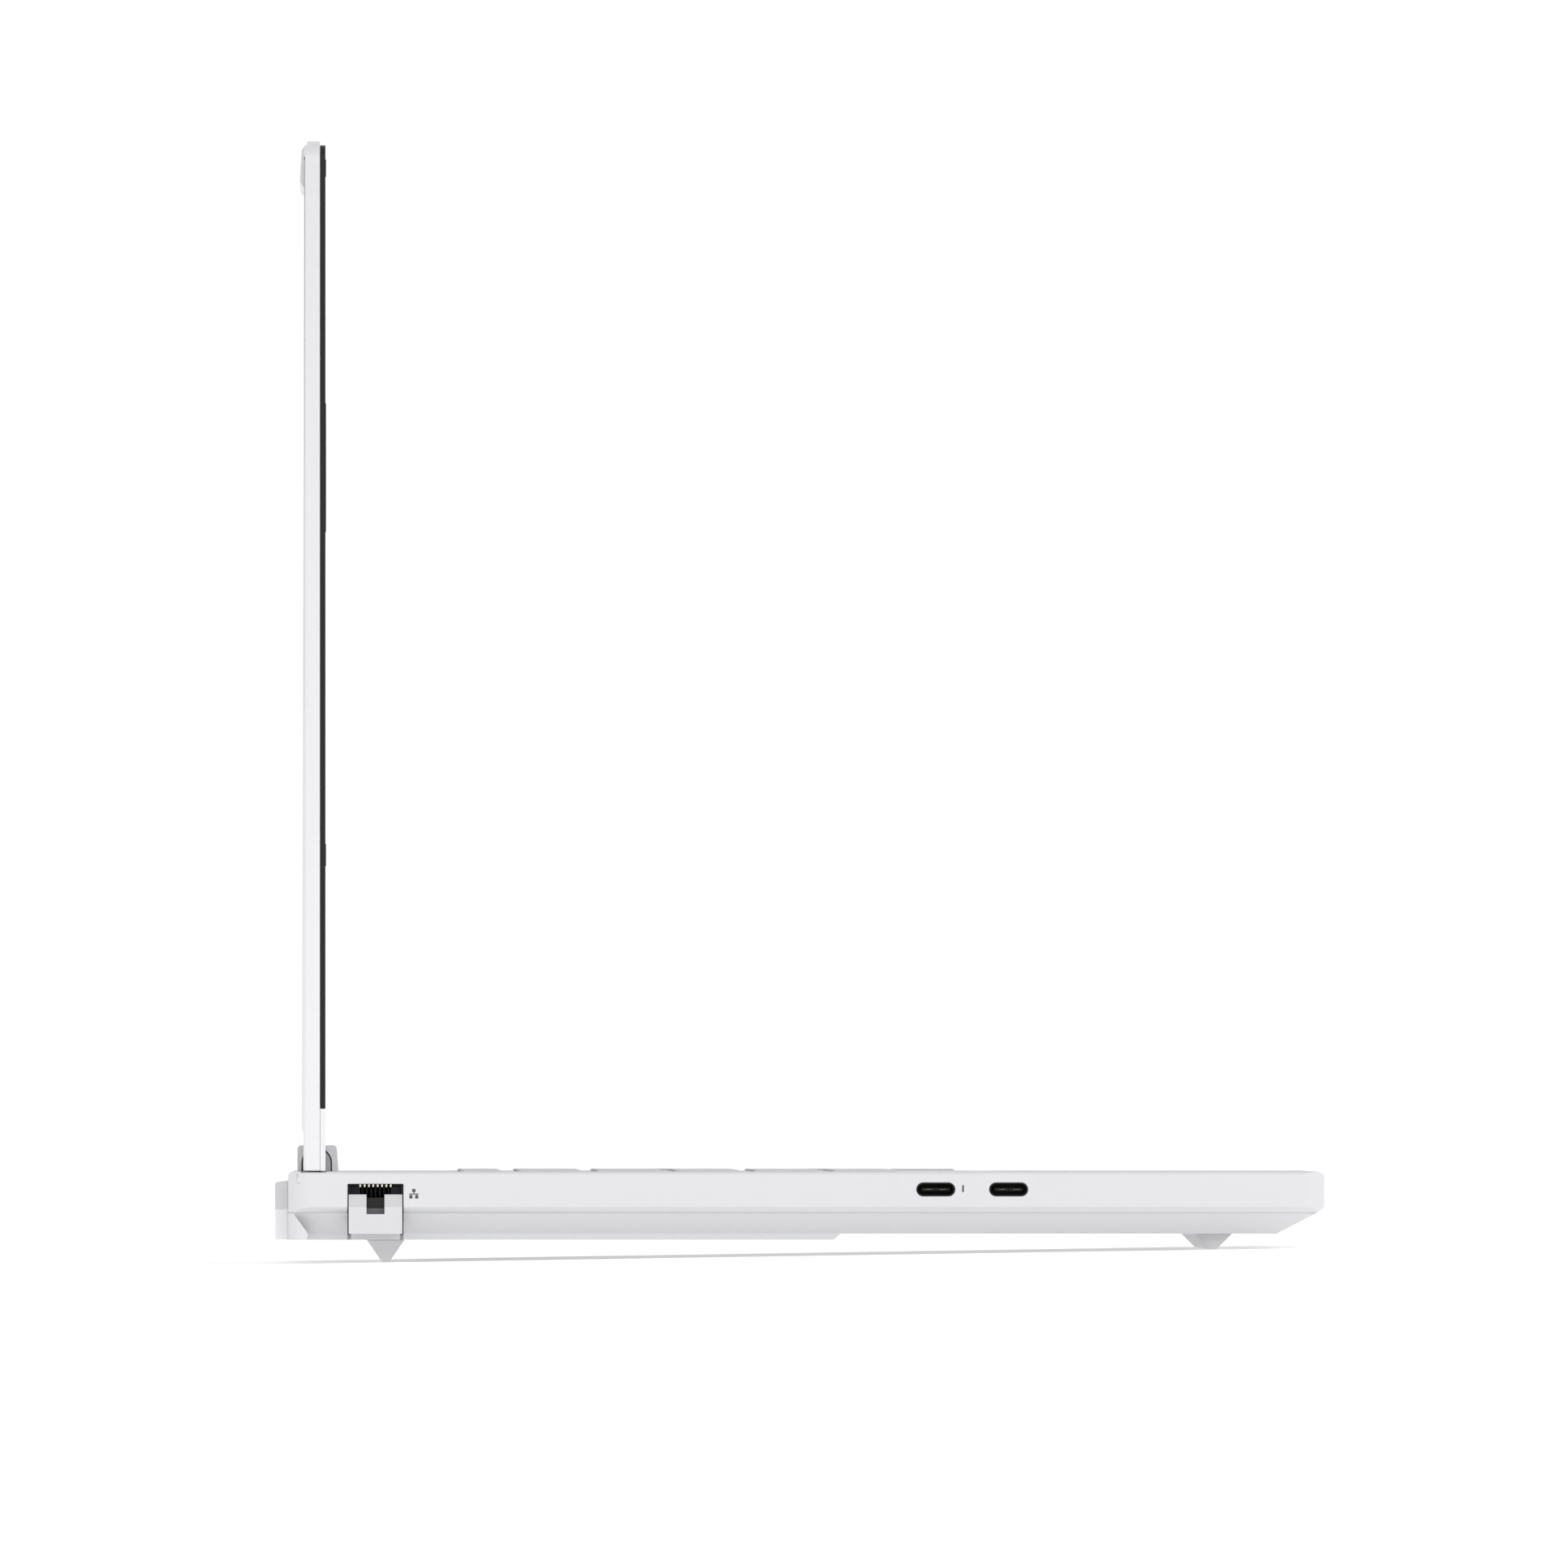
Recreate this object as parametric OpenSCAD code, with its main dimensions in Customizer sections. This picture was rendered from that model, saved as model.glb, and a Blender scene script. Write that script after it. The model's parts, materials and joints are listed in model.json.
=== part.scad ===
// Slim 15-inch laptop computer with its lid standing upright.
//
// Everything is drawn level: X runs to the user's right, Y to the rear, Z up, and z = 0 is the flat
// underside at the back of the base. stand() then drops the whole computer onto its feet, which
// are taller at the back, so the deck slopes gently down towards the user.

/* [Base] */
// Width of the base, side to side
body_w = 344; // [342:0.5:346]
// Rear face of the base, without the port block
body_rear = 120; // [119.5:0.1:120.5]
// Front face of the base
body_front = -123.3; // [-124:0.1:-122.8]
// Height of the deck above the underside
deck_z = 16.05; // [15.95:0.05:16.25]
// Height of the seam between the top and bottom covers
seam_z = 6.4; // [6.2:0.1:6.6]
// Radius of the vertical corners
corner_r = 5; // [4.5:0.5:5.5]

/* [Feet] */
// Drop of the rear foot below the underside
rear_foot_drop = 5.4; // [5:0.1:5.8]
// Drop of the front foot below the same level
front_foot_drop = 2.4; // [2.2:0.05:2.8]
// Centre line of the rear foot
rear_foot_y = 97.1; // [96:0.1:98]
// Centre line of the front foot
front_foot_y = -97.6; // [-99:0.1:-96]

/* [Lid] */
// Top edge of the lid, upright
lid_top = 257; // [255:0.1:258]
// Width of the lid
lid_w = 342.4; // [341:0.1:342.6]
// Thickness of the lid beside the hinges
lid_t = 5.6; // [5.5:0.05:5.65]
// Height of the hinge axis above the deck
axis_rise = 2.5; // [2.45:0.05:2.6]
// Centre line of the hinge axis
axis_y = 113.05; // [112.9:0.05:113.2]

/* [Keyboard] */
// Key spacing across
key_pitch_x = 17.9; // [17.7:0.05:17.9]
// Key spacing from row to row
key_pitch_y = 18.5; // [18.4:0.05:18.6]

/* [Hidden] */
$fn = 48;
eps = 0.01;

// Places of the main levels and faces.
axis_z = deck_z + axis_rise;
deck_t = 1.2;
under_deck = deck_z - deck_t;
wall_x = body_w / 2;
body_d = body_rear - body_front;
body_mid = (body_rear + body_front) / 2;
seam_inset = 1.7;
wall_t = 2.6;
block_t = 3.15;
tail_y = body_rear + block_t;

// Bottom cover: the back part is a low plateau, and the sides and front slope inwards.
plateau_front = -8.2;
belly_z = 1.4;
belly_front = -112.1;
slope_x = 162;
slope_z = 1.6;
floor_t = 1.2;
undercut_h = 1.3;
boss_low = belly_z + floor_t + 0.05;

// Lid: faces measured from front to back.
lid_front = axis_y - 1.82;
bezel_t = 1.24;
bezel_back = lid_front + bezel_t;
lid_back = lid_front + lid_t;
lid_taper = 0.55;
lid_skin = 1.2;
lid_low = deck_z + 0.12;
lid_step_z = 25.7;
lid_step = 0.4;
lid_chamfer = 0.9;
chin_top = 30.8;
lid_corner_r = 4;

// Screen window, its panel, and the camera above it in a raised bar.
screen_w = 329.6;
screen_h = 206;
screen_low = 43.5;
panel_half = 167;
panel_low = 38.4;
panel_high = 251.4;
panel_t = 2;
camera_z = 253.2;
camera_r = 1.9;
hump_half = 80;
hump_rise = 2.2;

// Rubber pads on the bezel: place across, height, half width and half height.
bumper_t = 0.15;
bumpers = [
    [168.2, 191.9, 1.2, 4.5], [168.2, 177.8, 1.2, 8.7], [168.2, 91, 1.2, 2], [60, 254, 1.2, 1.2]
];

// Hinges: the lid is notched from hinge_in to hinge_out on each side.
hinge_in = 92;
hinge_out = 140;

// Trough in the deck that the lid's lower edge dips into as it turns.
trough_front = 111;
trough_rear = 116.85;
trough_depth = 1.65;
trough_floor = 1;

// Hinge caps and knuckles.
notch_gap = 0.5;
notch_rise = 5.7;
cap_front = 108.15;
cap_rear = 117.85;
cap_rise = 6;
cap_corner_r = 0.7;
arch_r = 3.56;
arch_y = axis_y + 0.23;
arch_z = axis_z - 0.5;
arch_t = 0.5;
knuckle_r = 2.3;
shaft_r = 1.2;
shaft_clear = 0.05;

// Left side sockets.
jack_y = 99.5;
jack_w = 13.1;
jack_top = 13.15;
jack_low_x = -159.8;
jaw_top = 10.68;
jaw_facet_z = 7.7;
latch_low = 6.05;
jaw_pivot = [-156.5, 3.2];
contact_pitch = 1.02;
usb_c_ys = [-32, -49.1];
usb_c_z = 11.85;
usb_c_w = 9.1;
usb_c_h = 3.22;

// Right side sockets.
audio_y = -76;
audio_z = 11;
audio_r = 1.8;
usb_a_y = -54;
switch_y = -20;
switch_travel = 2;

// Screws that close the base.
screws = [
    [-157, 87], [157, 87], [-52, 113.5], [52, 113.5],
    [-125, -47], [125, -47], [-157, -104], [157, -104]
];

// Cooling.
fan_x = 100;
fan_y = 64;
fan_half = 34;
fan_low = 2.2;
fan_high = 9.2;

// Rear sockets: centre, opening width and height.
socket_z = 7;
rear_openings = [[-34, 11, 4.6], [-10, 14, 4.6], [14, 12.6, 5.2], [34, 12.6, 5.2]];

// Touchpad and power button.
pad_x = -29;
pad_w = 120;
pad_rear = -47;
pad_d = 74;
power_y = 93;
power_w = 22;
power_d = 7;
button_gap = 0.25;

// Keyboard rows, counted from the back: 0 is the function row and 6 holds the lower arrow keys.
key_gap_x = 2.6;
key_d = 15.2;
key_low = deck_z - 1.75;
key_high = deck_z + 0.45;
key_corner_r = 1.2;
key_hole_gap = 0.4;
stem_w = 3;
stem_low = deck_z - 3.7;
stem_gap = 0.3;
plate_low = deck_z - 4.3;
plate_high = plate_low + 0.8;
window_edge = 1.6;
numpad_pitch = 14.4;
main_x = -163.5;
numpad_x = main_x + 15 * key_pitch_x + 0.9;
number_row_y = 58.7;
function_row_y = 74.8;
function_key_d = 9.7;
arrow_row_y = -31.1;
arrow_u = 12;
row_keys = [
    [for (i = [0:14]) 1],
    [for (i = [0:13]) i < 13 ? 1 : 2],
    [for (i = [0:13]) (i == 0 || i == 13) ? 1.5 : 1],
    [for (i = [0:12]) i == 0 ? 1.75 : i == 12 ? 2.25 : 1],
    [for (i = [0:11]) i == 0 ? 2.25 : i == 11 ? 2.75 : 1],
    [1.25, 1, 1, 1, 5.5, 1, 1.25]
];

function row_y(row) =
    row == 0 ? function_row_y : row == 6 ? arrow_row_y : number_row_y - (row - 1) * key_pitch_y;
function row_d(row) = row == 0 ? function_key_d : key_d;
function units_before(row, index) = index == 0 ? 0 : units_before(row, index - 1) + row_keys[row][index - 1];

// A key is [left, right, front, rear] in plan.
function key_at(left, width, row) = [
    left + key_gap_x / 2, left + width - key_gap_x / 2,
    row_y(row) - row_d(row) / 2, row_y(row) + row_d(row) / 2
];
function main_key(row, index) =
    key_at(main_x + units_before(row, index) * key_pitch_x, row_keys[row][index] * key_pitch_x, row);
function numpad_key(row, column, units = 1) =
    key_at(numpad_x + column * numpad_pitch, units * numpad_pitch, row);
function tall_key(row) =
    let (upper = numpad_key(row, 3), lower = numpad_key(row + 1, 3))
    [upper[0], upper[1], lower[2], upper[3]];
function arrow_key(column, row) = key_at(main_x + (arrow_u + column) * key_pitch_x, key_pitch_x, row);

function_keys = concat([for (i = [0:14]) main_key(0, i)], [for (c = [0:3]) numpad_key(0, c)]);
number_keys = [for (i = [0:12]) main_key(1, i)];
top_letter_keys = [for (i = [0:13]) main_key(2, i)];
home_keys = [for (i = [0:11]) main_key(3, i)];
bottom_letter_keys = [for (i = [0:11]) main_key(4, i)];
modifier_keys = [for (i = [0, 1, 2, 3, 5, 6]) main_key(5, i)];
numpad_keys = concat(
    [for (c = [0:3]) numpad_key(1, c)],
    [for (row = [2:4]) for (c = [0:2]) numpad_key(row, c)],
    [numpad_key(5, 0, 2), numpad_key(5, 2)]
);
backspace = main_key(1, 13);
enter = main_key(3, 12);
space = main_key(5, 4);
numpad_plus = tall_key(2);
numpad_enter = tall_key(4);
arrows = [arrow_key(1, 5), arrow_key(0, 6), arrow_key(1, 6), arrow_key(2, 6)];
all_keys = concat(
    function_keys, number_keys, top_letter_keys, home_keys, bottom_letter_keys, modifier_keys,
    numpad_keys, [backspace, enter, space, numpad_plus, numpad_enter], arrows
);

// Places of the guide stems along a key: one in the middle, and two more on a long key.
long_key = 40;
function stem_places(k) =
    let (middle = (k[0] + k[1]) / 2, w = k[1] - k[0])
    w > long_key ? [middle - w / 3, middle, middle + w / 3] : [middle];

// The feet set how the computer stands.
tilt = atan((rear_foot_drop - front_foot_drop) / (rear_foot_y - front_foot_y));
foot_flat = 0.1;
function turned(y, z) = [y * cos(tilt) - z * sin(tilt), y * sin(tilt) + z * cos(tilt)];
rise = -turned(rear_foot_y, -rear_foot_drop)[1] - foot_flat;
back_shift = -(turned(tail_y, 0)[0] + turned(body_front, deck_z - 0.6)[0]) / 2;

// ---- Helpers ----

// Sets the level model down on its feet.
module stand() {
    translate([0, back_shift, rise]) rotate([tilt, 0, 0]) children();
}

// Extrudes a shape drawn in Y and Z from x0 to x1.
module across(x0, x1) {
    translate([x0, 0, 0]) rotate([90, 0, 90]) linear_extrude(x1 - x0) children();
}

// Extrudes a shape drawn in X and Z from y0 to y1.
module along(y0, y1) {
    translate([0, y1, 0]) rotate([90, 0, 0]) linear_extrude(y1 - y0) children();
}

// Extrudes a shape drawn in X and Y from z0 to z1.
module rising(z0, z1) {
    translate([0, 0, z0]) linear_extrude(z1 - z0) children();
}

// A block between two corners.
module block(low, high) {
    translate(low) cube(high - low);
}

// A rectangle with round corners, about its centre.
module round_rect(w, d, r) {
    square([w - 2 * r, d], center = true);
    square([w, d - 2 * r], center = true);
    for (sx = [-1, 1]) for (sy = [-1, 1]) translate([sx * (w / 2 - r), sy * (d / 2 - r)]) circle(r);
}

// A slot with round ends, about its centre.
module slot(w, h) {
    square([w - h, h], center = true);
    for (s = [-1, 1]) translate([s * (w - h) / 2, 0]) circle(h / 2);
}

// A bar along X with round-ended section.
module side_slot(x, length, y, z, w, h) {
    translate([x, y, z]) rotate([90, 0, 90]) linear_extrude(length) slot(w, h);
}

// A round bar along X.
module bar(x0, x1, y, z, r) {
    translate([x0, y, z]) rotate([0, 90, 0]) cylinder(r = r, h = x1 - x0);
}

module plan_of_base(inset, r) {
    translate([0, body_mid]) round_rect(body_w - 2 * inset, body_d - 2 * inset, r);
}

// ---- Base covers ----

module top_cover_outside() {
    intersection() {
        rising(seam_z, deck_z) plan_of_base(0, corner_r);
        across(-wall_x, wall_x) polygon([
            [body_front + seam_inset, seam_z], [body_front, seam_z + undercut_h],
            [body_front, deck_z - 0.6], [body_front + 1.5, deck_z],
            [body_rear - 1.4, deck_z], [body_rear, deck_z - 0.7], [body_rear, seam_z]
        ]);
        along(body_front, body_rear) polygon([
            [-wall_x + seam_inset, seam_z], [-wall_x, seam_z + undercut_h], [-wall_x, deck_z - 0.6],
            [-wall_x + 0.8, deck_z], [wall_x - 0.8, deck_z], [wall_x, deck_z - 0.6],
            [wall_x, seam_z + undercut_h], [wall_x - seam_inset, seam_z]
        ]);
    }
}

// Window that the key lattice fills, smaller by gap all round.
module keyboard_window(gap) {
    left = main_x - 1.3;
    right = numpad_x + 4 * numpad_pitch + 1.3;
    rear = function_row_y + function_key_d / 2 + window_edge;
    front = row_y(5) - key_d / 2 - window_edge;
    arrow_left = main_x + arrow_u * key_pitch_x - 0.3;
    arrow_right = arrow_left + 3 * key_pitch_x + 0.6;
    translate([left + gap, front + gap]) square([right - left - 2 * gap, rear - front - 2 * gap]);
    translate([arrow_left + gap, arrow_row_y - key_d / 2 - window_edge + gap])
        square([arrow_right - arrow_left - 2 * gap, front - arrow_row_y + key_d / 2 + 2]);
}

module touchpad_plan(gap) {
    translate([pad_x, pad_rear - pad_d / 2]) round_rect(pad_w + 2 * gap, pad_d + 2 * gap, 2 + gap);
}

module power_plan(gap) {
    translate([0, power_y]) round_rect(power_w + 2 * gap, power_d + 2 * gap, 2 + gap);
}

module side_wall_openings() {
    // Network jack, open downwards for its jaw.
    block(
        [-wall_x - 1, jack_y - jack_w / 2, seam_z - 1],
        [-wall_x + wall_t + 1, jack_y + jack_w / 2, jack_top]
    );
    for (y = usb_c_ys) side_slot(-wall_x - 1, wall_t + 2, y, usb_c_z, usb_c_w, usb_c_h);
    block([wall_x - wall_t - 1, usb_a_y - 7.3, 7.5], [wall_x + 1, usb_a_y + 7.3, 14.3]);
    bar(wall_x - wall_t - 1, wall_x + 1, audio_y, audio_z, 3.3);
    side_slot(wall_x - wall_t - 1, wall_t + 2, switch_y, audio_z, 8.4, 2.4);
}

module rear_wall_opening() {
    block([-148.2, body_rear - wall_t - 1, seam_z - 6], [148.2, body_rear + 1, 13.2]);
}

module screw_bosses() {
    for (p = screws) translate([p[0], p[1], boss_low]) difference() {
        cylinder(r = 2.8, h = under_deck - boss_low);
        translate([0, 0, -1]) cylinder(r = 1.05, h = 9);
    }
}

// Room for the lid's lower edge, larger by wall below and around.
module lid_trough(wall) {
    low = deck_z - trough_depth - wall;
    high = wall > 0 ? deck_z - deck_t + eps : deck_z + 1;
    y0 = trough_front - wall;
    y1 = trough_rear + wall;
    reach = hinge_in - notch_gap + 0.1 + wall;
    block([-reach, y0, low], [reach, y1, high]);
    for (s = [0, 1]) mirror([s, 0, 0])
        block([hinge_out + notch_gap - 0.1 - wall, y0, low], [lid_w / 2 + 0.15 + wall / 4, y1, high]);
}

module top_cover() {
    color("whitesmoke") difference() {
        union() {
            difference() {
                top_cover_outside();
                rising(seam_z - 1, under_deck) plan_of_base(wall_t, corner_r - 1.5);
                rising(under_deck - 1.5, deck_z + 1) {
                    keyboard_window(0);
                    touchpad_plan(button_gap);
                    power_plan(button_gap);
                }
                for (s = [-1, 1]) translate([s * 112, axis_y, under_deck]) cube([27, 6.4, 6], center = true);
                side_wall_openings();
                rear_wall_opening();
            }
            lid_trough(trough_floor);
            screw_bosses();
        }
        lid_trough(0);
    }
}

// Flat web between the keys. It fills the window of the top cover.
module key_lattice() {
    color("gainsboro") rising(under_deck, deck_z - 0.05) difference() {
        keyboard_window(0);
        for (k = all_keys)
            translate([k[0] - key_hole_gap, k[2] - key_hole_gap])
                square([k[1] - k[0] + 2 * key_hole_gap, k[3] - k[2] + 2 * key_hole_gap]);
    }
}

// What the sloping sides take off the bottom cover, moved inwards by h.
module side_slopes(h) {
    for (s = [0, 1]) mirror([s, 0, 0]) intersection() {
        along(body_front - 1, body_rear + 5) polygon([
            [-wall_x - 1, seam_z + 1], [-wall_x + seam_inset + h, seam_z + 1],
            [-wall_x + seam_inset + h, seam_z], [-slope_x + h, slope_z], [-slope_x + h, -1],
            [-wall_x - 1, -1]
        ]);
        across(-wall_x - 1, -slope_x + h + 1) polygon([
            [body_front - 2, -2], [115.4 + 1.2 * h, -2], [115.4 + 1.2 * h, slope_z],
            [118.9 + 1.2 * h, seam_z], [118.9 + 1.2 * h, seam_z + 1], [body_front - 2, seam_z + 1]
        ]);
    }
}

// The solid inside the bottom cover's outer faces, moved inwards by h and up by lift.
module bottom_bowl(h, lift, top) {
    difference() {
        intersection() {
            rising(lift, top) translate([0, body_mid + seam_inset / 2]) round_rect(
                body_w - 2 * seam_inset - 1.2 * h, body_d - seam_inset - 1.2 * h, corner_r - 2
            );
            across(-wall_x, wall_x) polygon([
                [body_front + seam_inset + h, top], [body_front + seam_inset + h, seam_z],
                [belly_front + h, belly_z + lift], [plateau_front - 1.5 + h, belly_z + lift],
                [plateau_front + h, lift], [body_rear - h * 0.6, lift], [body_rear - h * 0.6, top]
            ]);
        }
        side_slopes(h);
    }
}

module intake_slots() {
    for (s = [-1, 1]) for (i = [-4:4])
        translate([s * fan_x, fan_y + i * 6, -1]) linear_extrude(4) slot(52, 2.6);
}

module bottom_cover() {
    color("white") difference() {
        bottom_bowl(0, 0, seam_z);
        bottom_bowl(2.4, floor_t, seam_z + 1);
        // Way for the jaw to swing down.
        block([-wall_x - 1, jack_y - jack_w / 2, -1], [-153.2, jack_y + jack_w / 2, seam_z + 1]);
        block([-148.2, body_rear - 4, 1.9], [148.2, body_rear + 1, seam_z + 1]);
        intake_slots();
        for (p = screws) {
            floor_z = p[1] < plateau_front ? belly_z : 0;
            translate([p[0], p[1], floor_z - 1]) cylinder(r = 2.4, h = 1.7);
            translate([p[0], p[1], -1]) cylinder(r = 1.3, h = 5);
        }
        // Speaker outlets near the front corners.
        for (s = [-1, 1]) for (i = [0:3])
            translate([s * 139, -92 + i * 4, 0]) linear_extrude(4) slot(22, 1.6);
    }
}

module bottom_screws() {
    color("dimgray") for (p = screws) {
        floor_z = p[1] < plateau_front ? belly_z : 0;
        translate([p[0], p[1], floor_z]) difference() {
            union() {
                translate([0, 0, 0.1]) cylinder(r = 2.2, h = 0.6);
                translate([0, 0, 0.6]) cylinder(r = 1, h = 6);
            }
            translate([0, 0, -1]) cylinder(r = 0.9, h = 1.45, $fn = 6);
        }
    }
}

// A foot is a long bar with a blunt V section and sloping ends, sliced flat where it meets the table.
module foot(y, half, base_z, drop, tip_r, length) {
    low = -drop + tip_r;
    end_z = base_z - 0.45 * (base_z + drop);
    difference() {
        across(-length / 2, length / 2) {
            polygon([
                [y - tip_r * 0.75, low - tip_r * 0.66], [y + tip_r * 0.75, low - tip_r * 0.66],
                [y + half, base_z], [y - half, base_z]
            ]);
            translate([y, low]) circle(tip_r);
        }
        for (s = [0, 1]) mirror([s, 0, 0]) along(y - half - 1, y + half + 1) polygon([
            [length / 2 + 1, end_z + 1], [length / 2 - drop, end_z - drop], [length / 2 + 1, end_z - drop]
        ]);
        rotate([-tilt, 0, 0]) translate([0, -back_shift, -rise])
            block([-length, -200, -5], [length, 200, 0]);
    }
}

module rear_foot() {
    color("gainsboro") foot(rear_foot_y, 4.5, 0, rear_foot_drop, 1.5, 300);
}

module front_foot() {
    color("gainsboro") foot(front_foot_y, 4.4, belly_z, front_foot_drop, 1.6, 280);
}

// ---- Rear ports ----

module rear_port_block() {
    color("lightgray") difference() {
        union() {
            intersection() {
                along(body_rear, tail_y) polygon([
                    [-152, 0], [152, 0], [152, 7.15], [150, 13.7], [-150, 13.7], [-152, 7.15]
                ]);
                across(-wall_x, wall_x) polygon([
                    [body_rear, 0], [tail_y, 0], [tail_y, 13.25], [body_rear, 13.7]
                ]);
            }
            block([-148, body_rear - 2.6, 2], [148, body_rear, 13.1]);
        }
        for (s = [-1, 1]) for (i = [0:17])
            translate([s * (64 + i * 4.5) - 1.4, body_rear - 4, 3.4]) cube([2.8, 9, 7.6]);
        for (o = rear_openings) block(
            [o[0] - o[1] / 2 - 0.5, body_rear - 4, socket_z - o[2] / 2 - 0.5],
            [o[0] + o[1] / 2 + 0.5, tail_y + 1, socket_z + o[2] / 2 + 0.5]
        );
    }
}

module rear_sockets() {
    for (o = rear_openings) translate([o[0], 0, socket_z]) {
        color("silver") difference() {
            block(
                [-o[1] / 2 - 0.4, 111, -o[2] / 2 - 0.4],
                [o[1] / 2 + 0.4, tail_y - 0.6, o[2] / 2 + 0.4]
            );
            block([-o[1] / 2, 112, -o[2] / 2], [o[1] / 2, tail_y + 1, o[2] / 2]);
        }
        color("black") block([-o[1] / 2 + 1.2, 112, -0.6], [o[1] / 2 - 1.2, tail_y - 2.4, 0.6]);
    }
}

// ---- Hinges ----

module cap_section(inset) {
    y0 = cap_front + inset;
    y1 = cap_rear - inset;
    top = deck_z + cap_rise - inset;
    r = cap_corner_r;
    polygon([
        [y1, deck_z], [y1, top - r], [y1 - r, top], [y0 + 0.4 + r, top], [y0 + 0.4, top - r], [y0, deck_z]
    ]);
    translate([y0 + 0.4 + r, top - r]) circle(r);
    translate([y1 - r, top - r]) circle(r);
}

module hinge_cap_left() {
    color("silver") difference() {
        across(-hinge_out, -hinge_in) cap_section(0);
        across(-hinge_out + 1.2, -hinge_in - 1.2) union() {
            cap_section(1.05);
            translate([109.6, deck_z - 1]) square([7, 2]);
        }
        // Arch in the outboard end face.
        across(-hinge_out - 1, -hinge_out + arch_t) {
            translate([arch_y, arch_z]) circle(arch_r);
            translate([arch_y - arch_r, deck_z - 1]) square([2 * arch_r, arch_z - deck_z + 1]);
        }
        bar(-hinge_in - 2, -hinge_in + 1, axis_y, axis_z, 1.6);
    }
}

module hinge_cap_right() {
    mirror([1, 0, 0]) hinge_cap_left();
}

// Steel bracket under the deck, with a knuckle that stands up inside the cap.
module hinge_bracket_left() {
    color("slategray") difference() {
        union() {
            block([-128, 100.5, under_deck - 1.4], [-96, 117.2, under_deck]);
            block([-124, 111.7, under_deck - eps], [-100, 114.4, axis_z]);
            bar(-124, -100, axis_y, axis_z, knuckle_r);
        }
        bar(-130, -90, axis_y, axis_z, shaft_r + shaft_clear);
        for (x = [-125.5, -98.5]) translate([x, 104, 10]) cylinder(r = 1.1, h = 8);
    }
}

module hinge_bracket_right() {
    mirror([1, 0, 0]) hinge_bracket_left();
}

module lid_arm_left() {
    color("slategray") {
        bar(-126.5, -80, axis_y, axis_z, shaft_r);
        block([-90, bezel_back + 0.1, axis_z + 0.2], [-80, bezel_back + 2.75, 31]);
        block([-90, bezel_back + 2.15, 31 - eps], [-62, bezel_back + 2.75, 56]);
    }
}

module lid_arm_right() {
    mirror([1, 0, 0]) lid_arm_left();
}

// ---- Lid ----

// Side section of the lid, square at the bottom and a little thinner towards the top.
module lid_section() {
    polygon([
        [lid_front, lid_low], [lid_back - lid_step, lid_low], [lid_back - lid_step, lid_step_z - lid_step],
        [lid_back, lid_step_z], [lid_back - lid_taper, lid_top], [lid_front, lid_top]
    ]);
}

module lid_front_view() {
    foot_z = lid_low - lid_corner_r - 1;
    translate([0, (lid_top + foot_z) / 2]) round_rect(lid_w, lid_top - foot_z, lid_corner_r);
}

module hinge_notches(gap) {
    for (s = [-1, 1]) translate([s * (hinge_in + hinge_out) / 2, axis_y, axis_z - 5])
        translate([-(hinge_out - hinge_in) / 2 - gap, -10, -5])
            cube([hinge_out - hinge_in + 2 * gap, 20, 10 + notch_rise + gap - notch_gap]);
}

// The whole lid, before it is divided into cover, chin and bezel.
module lid_blank() {
    difference() {
        intersection() {
            across(-lid_w / 2, lid_w / 2) lid_section();
            along(lid_front - 1, lid_back + 1) lid_front_view();
            // Chamfered back edges.
            rising(0, lid_top + 1) polygon([
                [-lid_w / 2, lid_front - 1], [lid_w / 2, lid_front - 1],
                [lid_w / 2, lid_back - lid_chamfer], [lid_w / 2 - lid_chamfer, lid_back],
                [-lid_w / 2 + lid_chamfer, lid_back], [-lid_w / 2, lid_back - lid_chamfer]
            ]);
        }
        hinge_notches(notch_gap);
    }
}

// Camera housing: a raised bar on the back that also stands above the top edge.
module camera_hump() {
    across(-hump_half, hump_half) polygon([
        [bezel_back, lid_top - 3], [bezel_back, lid_top + hump_rise], [lid_back - 1.25, lid_top + hump_rise],
        [lid_back - 1.1, lid_top + hump_rise - 1], [lid_back - 0.15, lid_top + hump_rise - 1.7],
        [lid_back + 0.1, lid_top + hump_rise - 2.3], [lid_back + 0.5, lid_top - 7.4],
        [lid_back - 0.7, lid_top - 9]
    ]);
}

module lid_cover() {
    color("whitesmoke") difference() {
        union() {
            difference() {
                lid_blank();
                block([-wall_x, lid_front - 1, 0], [wall_x, bezel_back, lid_top + 5]);
            }
            camera_hump();
        }
        // Hollow for the panel.
        difference() {
            across(-lid_w / 2 + 1.5, lid_w / 2 - 1.5) polygon([
                [bezel_back - 1, axis_z + 3], [bezel_back - 1, lid_top - 1.4],
                [lid_back - lid_taper - lid_skin, lid_top - 1.4], [lid_back - lid_skin, axis_z + 3]
            ]);
            hinge_notches(notch_gap + 1.3);
        }
        // Pockets for the hinge shafts and arms.
        for (s = [-1, 1]) {
            bar(s * 85.7 - 6, s * 85.7 + 6, axis_y, axis_z, shaft_r + shaft_clear);
            block([s * 85 - 5.1, bezel_back - 1, axis_z], [s * 85 + 5.1, bezel_back + 2.8, axis_z + 8]);
        }
    }
}

module chin_cover() {
    color("white") difference() {
        intersection() {
            lid_blank();
            block([-wall_x, lid_front - 1, 0], [wall_x, bezel_back, chin_top]);
        }
        for (s = [-1, 1]) bar(s * 85.7 - 6, s * 85.7 + 6, axis_y, axis_z, shaft_r + shaft_clear);
    }
}

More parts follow.
